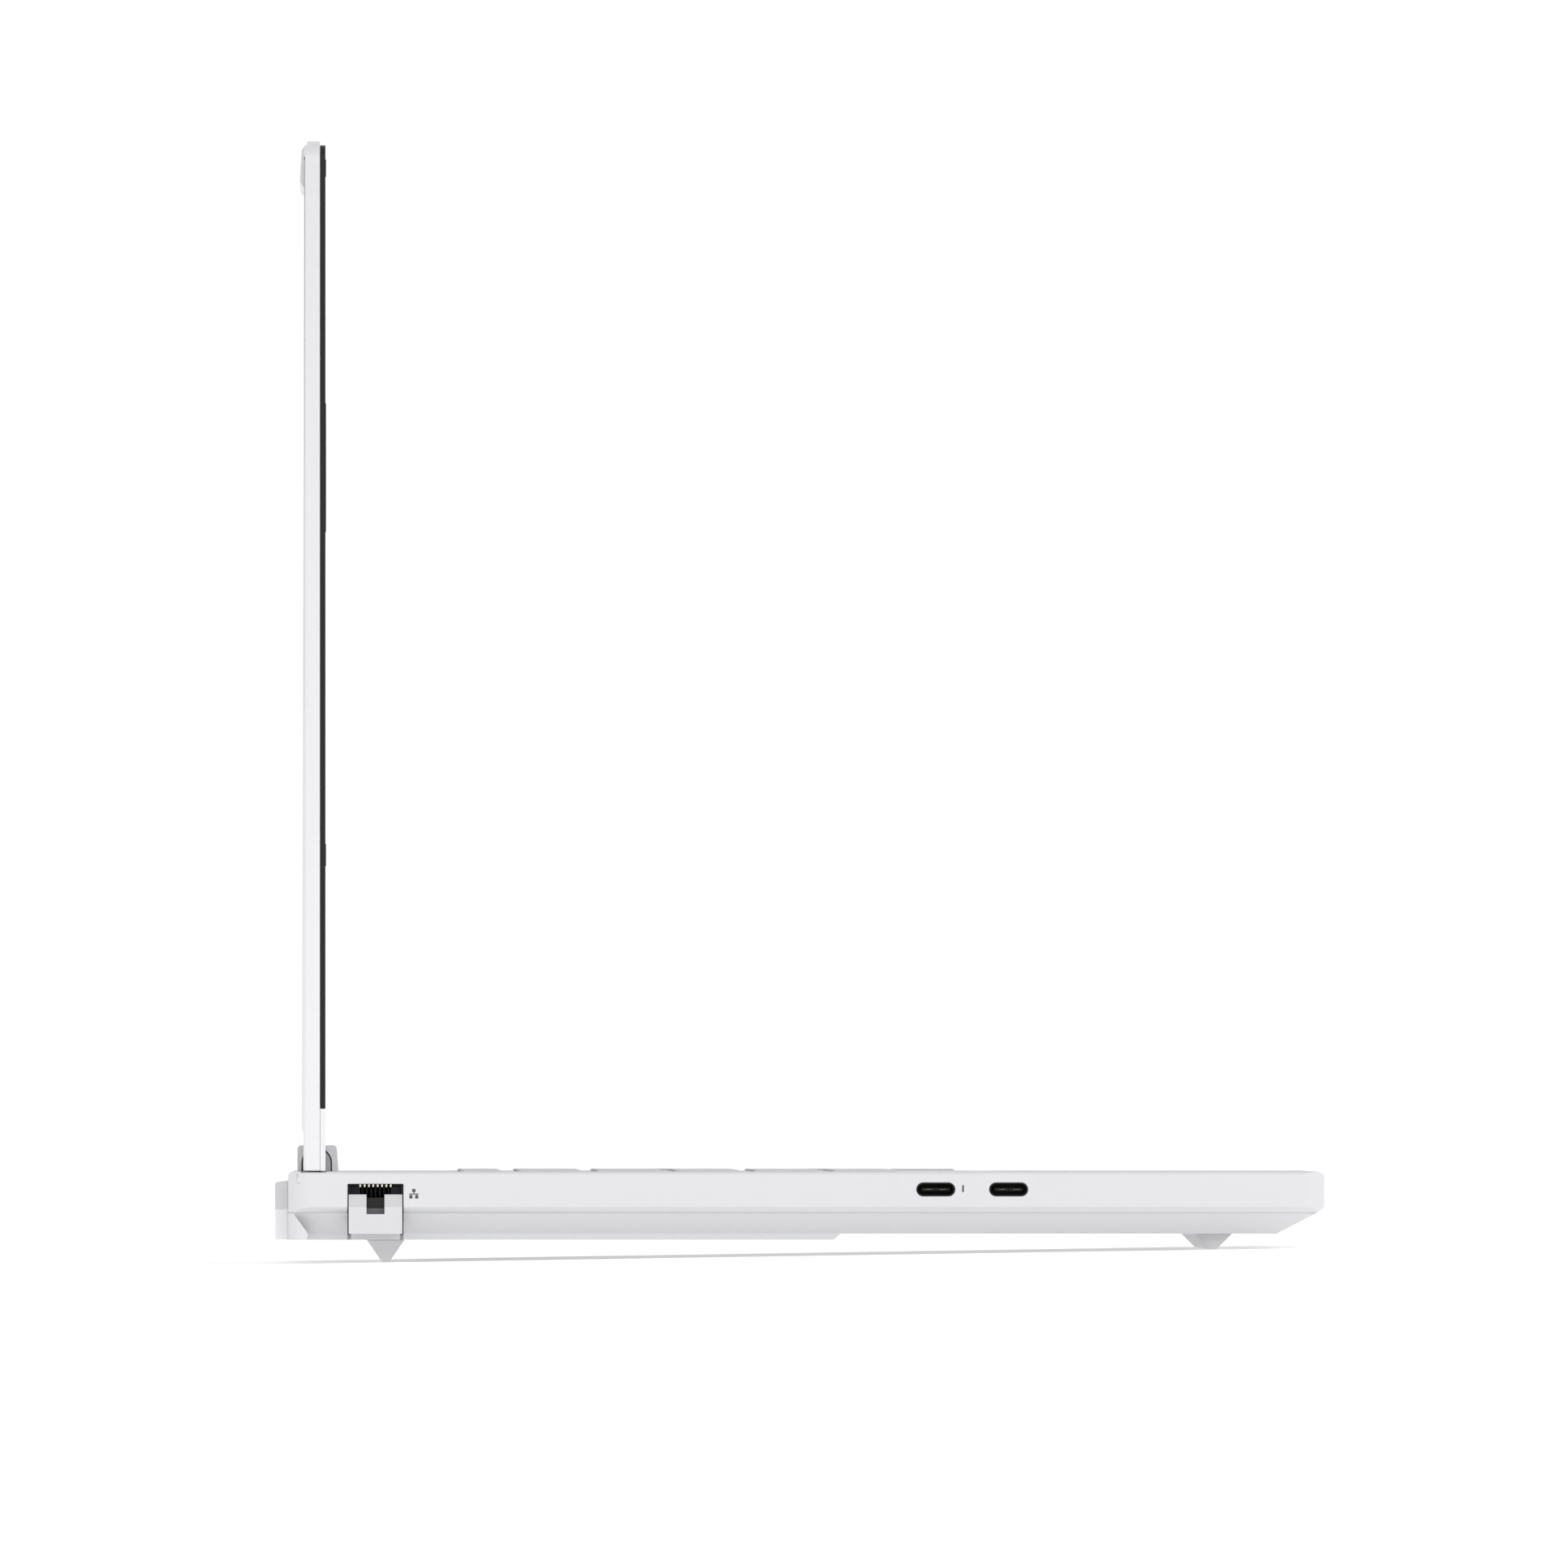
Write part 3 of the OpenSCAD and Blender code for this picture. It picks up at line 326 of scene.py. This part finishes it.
# Painted shadow: a near-black sheet behind each arch plate whose rim shows as the dark line of the gap.
GAP_PAINTED_SHADOW = grained("shadow_gap", (0.020, 0.020, 0.021), 0.7, specular=0.2)


# ---- Mesh building ----

BEVEL_SEGMENTS = 2
BEVEL_FROM_DEG = 38      # edges that turn by less stay as they are
WELD_M = 2e-6            # vertices of a CAD mesh this close are one
FLAT_DEG = 0.6           # faces that turn by less are one


def round_outline(width, height, radius, steps=6, centre=(0, 0)):
    """Points round a rectangle with arcs for corners, counter-clockwise."""
    points = []
    for sx, sy, start in ((1, 1, 0), (-1, 1, 90), (-1, -1, 180), (1, -1, 270)):
        for i in range(steps + 1):
            turn = math.radians(start + 90 * i / steps)
            points.append((centre[0] + sx * (width / 2 - radius) + radius * math.cos(turn),
                           centre[1] + sy * (height / 2 - radius) + radius * math.sin(turn)))
    return points


PLANES = {
    "x": lambda t, u, v: (t, u, v),
    "y": lambda t, u, v: (u, t, v),
    "z": lambda t, u, v: (u, v, t),
}


class Shape:
    """Closed shells, gathered in level millimetres."""

    def __init__(self):
        self.points = []
        self.faces = []

    def loft(self, rings):
        """Joins rings of equally many points and closes both ends."""
        start, count = len(self.points), len(rings[0])
        for ring in rings:
            self.points.extend(ring)
        for r in range(len(rings) - 1):
            a = start + r * count
            for i in range(count):
                j = (i + 1) % count
                self.faces.append((a + i, a + j, a + count + j, a + count + i))
        last = start + (len(rings) - 1) * count
        self.faces.append(tuple(range(start, start + count)))
        self.faces.append(tuple(range(last, last + count)))

    def prism(self, axis, outline, low, high):
        """An outline drawn out along an axis."""
        place = PLANES[axis]
        self.loft([[place(t, u, v) for u, v in outline] for t in (low, high)])

    def block(self, low, high):
        outline = [(low[1], low[2]), (high[1], low[2]), (high[1], high[2]), (low[1], high[2])]
        self.prism("x", outline, low[0], high[0])

    def bar(self, x_span, y, half_width, z_span):
        """A block with its middle at y."""
        (x_low, x_high), (z_low, z_high) = x_span, z_span
        self.block((x_low, y - half_width, z_low), (x_high, y + half_width, z_high))

    def mesh(self, name):
        made = bmesh.new()
        verts = [made.verts.new(world(p)) for p in self.points]
        for face in self.faces:
            made.faces.new([verts[i] for i in face])
        return finished_mesh(made, name)


def finished_mesh(made, name, smooth=True):
    """The mesh of a bmesh, which is used up."""
    bmesh.ops.recalc_face_normals(made, faces=made.faces)
    for face in made.faces:
        face.smooth = smooth
    mesh = bpy.data.meshes.new(name)
    made.to_mesh(mesh)
    made.free()
    return mesh


def add_piece(mesh, material, body, slot, replaces=(), bevel_mm=0.0):
    """Puts a mesh in the scene as a piece that rides on a body, with softened edges."""
    piece = bpy.data.objects.new(mesh.name, mesh)
    bpy.context.scene.collection.objects.link(piece)
    mesh.materials.append(material.material)
    if bevel_mm:
        bevel = piece.modifiers.new("soft_edges", "BEVEL")
        bevel.width = bevel_mm * MM
        bevel.segments = BEVEL_SEGMENTS
        bevel.limit_method = "ANGLE"
        bevel.angle_limit = math.radians(BEVEL_FROM_DEG)
        bevel.use_clamp_overlap = False
    normals = piece.modifiers.new("even_shading", "WEIGHTED_NORMAL")
    normals.keep_sharp = True
    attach(piece, body)
    if replaces:
        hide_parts(*replaces)


def cleaned(node):
    """A bmesh of a CAD node with its seams joined and its flat faces whole."""
    made = bmesh.new()
    made.from_mesh(NODES[node].data)
    bmesh.ops.remove_doubles(made, verts=made.verts, dist=WELD_M)
    bmesh.ops.dissolve_limit(made, angle_limit=math.radians(FLAT_DEG), verts=made.verts, edges=made.edges)
    return made


def soften(node, bevel_mm):
    """A piece with the CAD node's shape and soft edges, in place of it."""
    slot = CAD_SLOTS[node]
    mesh = finished_mesh(cleaned(node), node + "_soft")
    for edge in mesh.edges:
        edge.use_edge_sharp = False
    add_piece(mesh, FINISHES[slot], NODES[node]["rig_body"], slot, (node,), bevel_mm)


CAD_SLOTS = {node: item.material_slots[0].material.name for node, item in NODES.items()}
for node, item in NODES.items():
    item.material_slots[0].material = FINISHES[CAD_SLOTS[node]].material
NODES["usb_c_shells"].material_slots[0].material = SOCKET_FLOOR.material


# ---- Camera, lights and floor: a studio view, square on to the left side ----

LENS_MM = 1500
SENSOR_MM = 36
FRAME_WIDTH = 368        # what the picture takes in at the left side's face
EYE_HEIGHT = 30.45
AIM_HEIGHT = 107
EYE_BEFORE_HINGE = 1.6
AIM_BEHIND_MIDDLE = 3.7

SKY_STOPS = ((0.25, (1.08, 1.08, 1.08, 1)), (0.95, (0.72, 0.72, 0.73, 1)))

FLOOR_HALF = 30000
FLOOR_T = 20
FLOOR_GLOW = 0.32


def make_camera():
    """Looks along +X from far away, level with the deck, so its up follows the sloping base."""
    distance = FRAME_WIDTH * LENS_MM / SENSOR_MM
    middle = (level_box("rear_port_block")[1].y + level_box("top_cover")[0].y) / 2
    eye = world((SIDE_X - distance, HINGE_Y - EYE_BEFORE_HINGE, EYE_HEIGHT))
    aim = world((SIDE_X, middle + AIM_BEHIND_MIDDLE, AIM_HEIGHT))
    data = bpy.data.cameras.new("camera")
    data.lens = LENS_MM
    data.sensor_width = SENSOR_MM
    data.clip_start = 0.1
    data.clip_end = 200
    camera = bpy.data.objects.new("camera", data)
    bpy.context.scene.collection.objects.link(camera)
    back = (eye - aim).normalized()
    right = UP.cross(back).normalized()
    up = back.cross(right)
    camera.matrix_world = Matrix.Translation(eye) @ Matrix((right, up, back)).transposed().to_4x4()
    bpy.context.scene.camera = camera


def make_world():
    """Soft studio light from all round, a little weaker from straight above."""
    made = bpy.data.worlds.new("studio")
    made.use_nodes = True
    tree = made.node_tree
    place = tree.nodes.new("ShaderNodeTexCoord")
    split = tree.nodes.new("ShaderNodeSeparateXYZ")
    ramp = tree.nodes.new("ShaderNodeValToRGB")
    for stop, (position, colour) in zip(ramp.color_ramp.elements, SKY_STOPS):
        stop.position = position
        stop.color = colour
    background = tree.nodes["Background"]
    tree.links.new(place.outputs["Generated"], split.inputs[0])
    tree.links.new(split.outputs["Z"], ramp.inputs[0])
    tree.links.new(ramp.outputs["Color"], background.inputs["Color"])
    bpy.context.scene.world = made


def make_sun(name, towards, strength, spread_deg):
    data = bpy.data.lights.new(name, "SUN")
    data.energy = strength
    data.angle = math.radians(spread_deg)
    sun = bpy.data.objects.new(name, data)
    bpy.context.scene.collection.objects.link(sun)
    sun.rotation_mode = "QUATERNION"
    sun.rotation_quaternion = Vector(towards).to_track_quat("-Z", "Y")


def make_floor():
    """A pale floor that stays white in the open and keeps the soft shadow under the feet."""
    s = Shader("pale_floor", 0.7, specular=0.2)
    s.colour(s.mix(s.remap(s.noise(25, 2), NOISE_SPAN), (0.80, 0.80, 0.80), (0.82, 0.82, 0.82)))
    s.set("Emission Color", (1, 1, 1, 1))
    s.set("Emission Strength", FLOOR_GLOW)
    made = bmesh.new()
    size = Matrix.Diagonal((FLOOR_HALF * 2 * MM, FLOOR_HALF * 2 * MM, FLOOR_T * MM, 1))
    bmesh.ops.create_cube(made, size=1, matrix=size)
    bmesh.ops.translate(made, verts=made.verts, vec=(0, 0, -FLOOR_T / 2 * MM))
    floor = bpy.data.objects.new("floor", finished_mesh(made, "floor", smooth=False))
    floor.data.materials.append(s.material)
    bpy.context.scene.collection.objects.link(floor)


make_camera()
make_world()
make_sun("key_light", towards=(0.75, 0.35, -0.55), strength=0.55, spread_deg=50)
make_sun("fill_light", towards=(-0.5, 0.6, -0.6), strength=0.25, spread_deg=60)
make_floor()
bpy.context.scene.view_settings.view_transform = "Standard"


# ---- Covers and other CAD shapes, with soft edges ----

SOFT_EDGES = {
    "top_cover": 0.22, "lid_cover": 0.3, "chin_cover": 0.15, "display_bezel": 0.15,
    "rear_port_block": 0.18, "hinge_cap_left": 0.12, "hinge_cap_right": 0.12, "rear_foot": 0.25,
    "front_foot": 0.25, "key_lattice": 0.08, "touchpad": 0.12, "power_button": 0.12,
    "camera_switch": 0.15, "network_jaw": 0.1, "lid_bumpers": 0.12, "rear_sockets": 0.06,
    "side_socket": 0.06, "bottom_screws": 0.08, "battery_pack": 0.3, "memory_modules": 0.06,
    "solid_state_drive": 0.06, "wireless_card": 0.08, "chip_packages": 0.12, "speakers": 0.25,
    "camera_module": 0.05,
}
for node, width in SOFT_EDGES.items():
    soften(node, width)


# ---- Keys ----

Key = namedtuple("Key", "left right front rear low high stem_low")

# A cap's rings: inset from its outline, with its share of the height, then the drop into the dish.
CAP_RINGS = ((0, 0), (0, 0.55), (0.03, 0.78), (0.12, 0.93), (0.28, 0.99), (0.5, 1))
DISH_RINGS = ((0.9, 0.02), (1.6, 0.06), (2.6, 0.11), (3.8, 0.14))
CAP_CORNER = 1.2
CAP_CORNER_LEAST = 0.25
CAP_ARC_STEPS = 5
STEM_HALF = 1.4
STEM_INTO_CAP = 0.05
THREE_STEM_WIDTH = 40    # a key of this width or more stands on three stems


def islands(made):
    """The separate solids of a bmesh, as lists of vertices."""
    left = set(made.verts)
    while left:
        found, edge = [], [left.pop()]
        while edge:
            vert = edge.pop()
            found.append(vert)
            for link in vert.link_edges:
                other = link.other_vert(vert)
                if other in left:
                    left.remove(other)
                    edge.append(other)
        yield found


def key_places(node):
    """The keys of a node, in reading order."""
    made = cleaned(node)
    keys = []
    for solid in islands(made):
        xs, ys, zs = zip(*(level(v.co) for v in solid))
        cap_low = sorted({round(z, 2) for z in zs})[-2]
        keys.append(Key(min(xs), max(xs), min(ys), max(ys), cap_low, max(zs), min(zs)))
    made.free()
    return sorted(keys, key=lambda key: (-round(key.rear), key.left))


def add_cap(shape, key):
    """A cap with rolled edges and a shallow dish, over its guide stems."""
    x, y = (key.left + key.right) / 2, (key.front + key.rear) / 2
    width, depth = key.right - key.left, key.rear - key.front

    def ring(inset, z):
        radius = max(CAP_CORNER - inset, CAP_CORNER_LEAST)
        outline = round_outline(width - 2 * inset, depth - 2 * inset, radius, CAP_ARC_STEPS, (x, y))
        return [(u, v, z) for u, v in outline]

    rings = [ring(inset, key.low + (key.high - key.low) * share) for inset, share in CAP_RINGS]
    rings += [ring(inset, key.high - drop) for inset, drop in DISH_RINGS]
    shape.loft(rings)
    spots = [x] if width < THREE_STEM_WIDTH else [x - width / 3, x, x + width / 3]
    for spot in spots:
        shape.bar((spot - STEM_HALF, spot + STEM_HALF), y, STEM_HALF,
                  (key.stem_low, key.low + STEM_INTO_CAP))


LEGENDS = {
    "function_keys": ["Esc"] + [f"F{i}" for i in range(1, 13)] + "Prt Del Home End PgUp PgDn".split(),
    "number_keys": list("`1234567890-="),
    "top_letter_keys": ["Tab"] + list("QWERTYUIOP[]\\"),
    "home_keys": ["Caps"] + list("ASDFGHJKL;'"),
    "bottom_letter_keys": ["Shift"] + list("ZXCVBNM,./") + ["Shift"],
    "modifier_keys": ["Ctrl", "Fn", "Sys", "Alt", "Alt", "Ctrl"],
    "numpad_keys": ["Num", "/", "*", "-"] + list("7894561230."),
    "backspace_key": ["Back"], "enter_key": ["Enter"], "space_bar": [], "numpad_plus_key": ["+"],
    "numpad_enter_key": ["Enter"], "arrow_up_key": ["^"], "arrow_left_key": ["<"], "arrow_down_key": ["v"],
    "arrow_right_key": [">"],
}
ARROW_TURNS = {"arrow_right_key": 0, "arrow_up_key": 90, "arrow_left_key": 180, "arrow_down_key": 270}
ARROW_CORNERS = (0, 125, 235)
ARROW_RADIUS = 1.15
INK_T = 0.03
INK_BELOW_RIM = 0.085    # legends lie in the dish, this far below the cap's rim
LETTER_SIZE = 4.6
LETTER_IN, LETTER_DOWN = 4.1, 4.7        # from the left edge and from the rear edge
WORD_SIZE = 2.9
WORD_IN, WORD_IN_RIGHT = 5.6, 7          # from the left edge, or from the right edge
SHALLOW_SIZE, SHALLOW_DEPTH = 2.7, 11    # the size on keys of less than that depth
WORD_MOVES_FROM = 16                     # words keep to one side on wider keys
RIGHT_HAND_WORDS = ("backspace_key", "enter_key")
_glyphs = {}


def glyph_mesh(text, size):
    """A word as a thin closed mesh about its own middle, in millimetres."""
    if (text, size) not in _glyphs:
        curve = bpy.data.curves.new("legend", "FONT")
        curve.body = text
        curve.size = size
        curve.align_x = "CENTER"
        curve.align_y = "CENTER"
        curve.resolution_u = 2
        curve.extrude = INK_T / 2
        carrier = bpy.data.objects.new("legend", curve)
        bpy.context.scene.collection.objects.link(carrier)
        view = bpy.context.evaluated_depsgraph_get()
        _glyphs[text, size] = bpy.data.meshes.new_from_object(carrier.evaluated_get(view))
        bpy.data.objects.remove(carrier)
    return _glyphs[text, size]


def add_legend(made, text, size, x, y, z):
    """Lays a word on a key, reading from the user's side."""
    glyph = glyph_mesh(text, size)
    verts = [made.verts.new(world((x + v.co.x, y + v.co.y, z + v.co.z))) for v in glyph.vertices]
    for face in glyph.polygons:
        made.faces.new([verts[i] for i in face.vertices])


def add_arrow(made, turn, x, y, z):
    """A small solid triangle."""
    turns = [math.radians(turn + corner) for corner in ARROW_CORNERS]
    corners = [(x + ARROW_RADIUS * math.cos(t), y + ARROW_RADIUS * math.sin(t)) for t in turns]
    lower, upper = ([made.verts.new(world((*corner, z + side * INK_T / 2))) for corner in corners]
                    for side in (-1, 1))
    made.faces.new(upper)
    made.faces.new(reversed(lower))
    for i in range(3):
        j = (i + 1) % 3
        made.faces.new((lower[i], lower[j], upper[j], upper[i]))


def add_key_legend(made, node, key, word):
    """Letters sit at the rear left of a key, words in its middle or towards one side."""
    x, y = (key.left + key.right) / 2, (key.front + key.rear) / 2
    z = key.high - INK_BELOW_RIM
    if node in ARROW_TURNS:
        add_arrow(made, ARROW_TURNS[node], x, y, z)
        return
    size = WORD_SIZE
    if len(word) == 1:
        size = LETTER_SIZE
        x, y = key.left + LETTER_IN, key.rear - LETTER_DOWN
    elif node in RIGHT_HAND_WORDS:
        x = key.right - WORD_IN_RIGHT
    elif node != "function_keys" and key.right - key.left > WORD_MOVES_FROM:
        x = key.left + WORD_IN
    if key.rear - key.front <= SHALLOW_DEPTH:
        size = SHALLOW_SIZE
    add_legend(made, word, size, x, y, z)


def make_keys():
    """Caps and legends of every key, a node at a time."""
    for node, words in LEGENDS.items():
        keys = key_places(node)
        caps = Shape()
        for key in keys:
            add_cap(caps, key)
        add_piece(caps.mesh(node + "_caps"), FINISHES["key_cap"], node, "key_cap", (node,))
        if words:
            ink = bmesh.new()
            for key, word in zip(keys, words):
                add_key_legend(ink, node, key, word)
            legends = finished_mesh(ink, node + "_legends", smooth=False)
            add_piece(legends, LEGEND_INK, node, "black_plastic")


make_keys()


# ---- Left side: sockets and marks ----

CONTACTS = 8
CONTACT_PITCH = 1.02


def make_network_socket():
    """Side blocks, comb, contact tips and latch step inside the network jack's mouth."""
    jaw_low, jaw_high = level_box("network_jaw")
    _, contacts_high = level_box("network_contacts")
    middle = (jaw_low.y + jaw_high.y) / 2
    back, mouth_top = contacts_high.x, contacts_high.z

    comb = Shape()
    post_away, post_half = 4.75, 1.15
    post_x = (SIDE_X + 2.2, back)
    post_z = (jaw_high.z - 1.5, mouth_top - 0.15)
    for side in (-1, 1):
        comb.bar(post_x, middle + side * post_away, post_half, post_z)
    rib_half = 0.17
    rib_x = (SIDE_X + 3.6, back)
    rib_z = (jaw_high.z - 1.2, mouth_top - 0.1)
    for i in range(CONTACTS + 1):
        comb.bar(rib_x, middle + (i - CONTACTS / 2) * CONTACT_PITCH, rib_half, rib_z)
    wall_half = 5.9
    wall_x = (back - 0.8, back)
    wall_z = (jaw_low.z + 2, mouth_top - 0.05)
    comb.bar(wall_x, middle, wall_half, wall_z)
    add_piece(comb.mesh("network_comb"), SOCKET_FLOOR, "base", "black_plastic", bevel_mm=0.05)

    tips = Shape()
    tip_half = 0.2
    tip_x = (SIDE_X + 0.7, SIDE_X + 1.4)
    tip_z = (mouth_top - 0.12, mouth_top + 0.3)
    for i in range(CONTACTS):
        tips.bar(tip_x, middle + (i - (CONTACTS - 1) / 2) * CONTACT_PITCH, tip_half, tip_z)
    add_piece(tips.mesh("network_contact_tips"), TICK_METAL, "base", "contact_gold", bevel_mm=0.04)

    latch = Shape()
    latch_wide, latch_high, latch_corner = 4.1, 4.2, 0.3
    latch_z = 7.8
    latch_x = (SIDE_X + 1.75, SIDE_X + 2.6)
    step = round_outline(latch_wide, latch_high, latch_corner, 4, (middle, latch_z))
    latch.prism("x", step, *latch_x)
    add_piece(latch.mesh("network_latch_step"), LATCH_BLOCK, "network_jaw", "jaw", bevel_mm=0.05)


def make_usb_c_details():
    """Contact strips round the edge and on both faces of each tongue, and a dark throat behind them."""
    low, high = level_box("usb_c_tongues")
    shell_low, shell_high = level_box("usb_c_shells")
    mid_z = (low.z + high.z) / 2
    shell_half = 4.45
    edge_away, edge_half = 1.75, 1.05
    edge_x = (low.x - 0.12, low.x + 3)
    edge_z = (mid_z - 0.17, mid_z + 0.17)
    strips_a_face, strip_pitch, strip_half, strip_half_t = 6, 0.9, 0.18, 0.03
    strip_x = (low.x + 0.5, low.x + 4.5)
    face_away = 0.36
    throat_wide, throat_high, throat_corner = 8.3, 2.46, 1.22
    throat_x = (high.x - 1.2, high.x - 0.2)
    strips, throat = Shape(), Shape()
    for y in (shell_low.y + shell_half, shell_high.y - shell_half):
        for side in (-1, 1):
            strips.bar(edge_x, y + side * edge_away, edge_half, edge_z)
            z = mid_z + side * face_away
            strip_z = (z - strip_half_t, z + strip_half_t)
            for i in range(strips_a_face):
                spot = y + (i - (strips_a_face - 1) / 2) * strip_pitch
                strips.bar(strip_x, spot, strip_half, strip_z)
        outline = round_outline(throat_wide, throat_high, throat_corner, 8, (y, mid_z))
        throat.prism("x", outline, *throat_x)
    add_piece(strips.mesh("usb_c_contact_strips"), STRIP_GOLD, "base", "contact_gold")
    add_piece(throat.mesh("usb_c_throats"), SOCKET_FLOOR, "base", "black_plastic")


NETWORK_MARK_Y = 90.5
NETWORK_MARK_Z = HINGE_Z - 6.95
BAR_MARK_Y = -38.4
BAR_MARK_Z = HINGE_Z - 6.5
BAR_MARK_WIDE = 0.42
BAR_MARK_HIGH = 1.7
MARK_LINE = 0.2
MARK_SQUARE = 0.76
MARK_CORNER = 0.05


def make_side_marks():
    """Plain printed marks: three linked squares by the network socket, a bar between the small sockets."""
    marks = Shape()

    def patch(y, z, wide, high, radius=MARK_CORNER):
        marks.prism("x", round_outline(wide, high, radius, 2, (y, z)), SIDE_X - INK_T, SIDE_X + INK_T)

    # Below the top square come a stem, a crossbar, and a branch to each of the lower squares.
    stem_down, stem_long = 0.6, 0.5
    cross_down, cross_wide = 0.83, 2.2
    branch_away, branch_down, branch_long = 0.68, 1, 0.36
    square_down = 1.5
    y, z = NETWORK_MARK_Y, NETWORK_MARK_Z
    patch(y, z, MARK_SQUARE, MARK_SQUARE)
    patch(y, z - stem_down, MARK_LINE, stem_long)
    patch(y, z - cross_down, cross_wide, MARK_LINE)
    for side in (-1, 1):
        patch(y + side * branch_away, z - branch_down, MARK_LINE, branch_long)
        patch(y + side * branch_away, z - square_down, MARK_SQUARE, MARK_SQUARE)
    bar_corner = 0.2
    patch(BAR_MARK_Y, BAR_MARK_Z, BAR_MARK_WIDE, BAR_MARK_HIGH, bar_corner)
    add_piece(marks.mesh("port_marks"), MARK_INK, "base", "black_plastic")


ARCH_Y = HINGE_Y + 0.23
ARCH_Z = HINGE_Z - 0.5
ARCH_STEPS = 16
ARCH_FOOT_UP = 0.02
PLATE_RADIUS = 3.26
PLATE_IN = (0.15, 0.45)  # depths from the cap's outer face
GAP_RADIUS = 3.52
GAP_IN = (0.42, 0.49)


def arch_outline(radius, foot_z):
    """A half circle about the arch's middle, standing on straight sides."""
    turns = [math.pi * i / ARCH_STEPS for i in range(ARCH_STEPS + 1)]
    points = [(ARCH_Y + radius * math.cos(t), ARCH_Z + radius * math.sin(t)) for t in turns]
    return points + [(ARCH_Y - radius, foot_z), (ARCH_Y + radius, foot_z)]


def make_hinge_arches():
    """A plate in the arch of each hinge cap, darker grey as painted shade in the arch's hollow, with a
    near-black sheet behind it that shows as a dark line round it, a painted shadow in the gap.
    """
    for side, node in ((-1, "hinge_cap_left"), (1, "hinge_cap_right")):
        low, high = level_box(node)
        outer = low.x if side < 0 else high.x
        foot_z = low.z + ARCH_FOOT_UP
        plate, gap = Shape(), Shape()
        plate.prism("x", arch_outline(PLATE_RADIUS, foot_z), *(outer - side * depth for depth in PLATE_IN))
        gap.prism("x", arch_outline(GAP_RADIUS, foot_z), *(outer - side * depth for depth in GAP_IN))
        add_piece(plate.mesh(node + "_arch"), ARCH_PAINTED_SHADE, "base", "hinge_cap", bevel_mm=0.06)
        add_piece(gap.mesh(node + "_gap"), GAP_PAINTED_SHADOW, "base", "black_plastic")


make_network_socket()
make_usb_c_details()
make_side_marks()
make_hinge_arches()


# ---- Deck and lid details ----

def make_power_mark():
    """A broken ring with a bar, printed on the power button."""
    low, high = level_box("power_button")
    x, y, z = (low.x + high.x) / 2, (low.y + high.y) / 2, high.z
    inner, outer = 1.3, 1.62
    start_deg, sweep_deg, steps = 125, 290, 22
    mark = Shape()
    for i in range(steps):
        a, b = (math.radians(start_deg + sweep_deg * k / steps) for k in (i, i + 1))
        corners = ((inner, a), (outer, a), (outer, b), (inner, b))
        outline = [(x + r * math.cos(t), y + r * math.sin(t)) for r, t in corners]
        mark.prism("z", outline, z - INK_T, z + INK_T)
    bar_wide, bar_long, bar_corner, bar_away = 0.32, 1.5, 0.12, 1.1
    bar = round_outline(bar_wide, bar_long, bar_corner, 2, (x, y + bar_away))
    mark.prism("z", bar, z - INK_T, z + INK_T)
    add_piece(mark.mesh("power_mark"), LEGEND_INK, "power_button", "black_plastic")


def make_screen():
    """The panel behind the bezel: a metal-backed slab with a glass sheet over its front."""
    low, high = level_box("display_panel")
    glass_t, glass_overlap, glass_inset, glass_corner = 0.5, 0.1, 0.3, 1.5
    slab, glass = Shape(), Shape()
    slab.block((low.x, low.y + glass_t - glass_overlap, low.z), high)
    middle = ((low.x + high.x) / 2, (low.z + high.z) / 2)
    outline = round_outline(high.x - low.x - 2 * glass_inset, high.z - low.z - 2 * glass_inset,
                            glass_corner, 5, middle)
    glass.prism("y", outline, low.y, low.y + glass_t)
    add_piece(slab.mesh("screen_back"), FINISHES["steel"], "lid", "steel", bevel_mm=0.15)
    add_piece(glass.mesh("screen_glass"), FINISHES["screen"], "lid", "screen", ("display_panel",), 0.1)


# The lens from its rear to its middle: radius, and depth behind the bezel's front.
LENS_RINGS = ((1.85, 0.75), (1.85, 0.25), (1.6, 0.2), (1.45, 0.45), (1.0, 0.5), (0.7, 0.38), (0.3, 0.33))
LENS_STEPS = 32
LENS_DROP = 0.1          # below the middle of the camera's board


def make_camera_eye():
    """A stepped round lens behind the hole in the bezel."""
    low, high = level_box("camera_module")
    z = (low.z + high.z) / 2 - LENS_DROP
    front = level_box("display_bezel")[0].y
    turns = [math.tau * i / LENS_STEPS for i in range(LENS_STEPS)]
    eye = Shape()
    eye.loft([[(radius * math.cos(t), front + depth, z + radius * math.sin(t)) for t in turns]
              for radius, depth in LENS_RINGS])
    add_piece(eye.mesh("camera_eye"), FINISHES["screen"], "lid", "screen")


make_power_mark()
make_screen()
make_camera_eye()
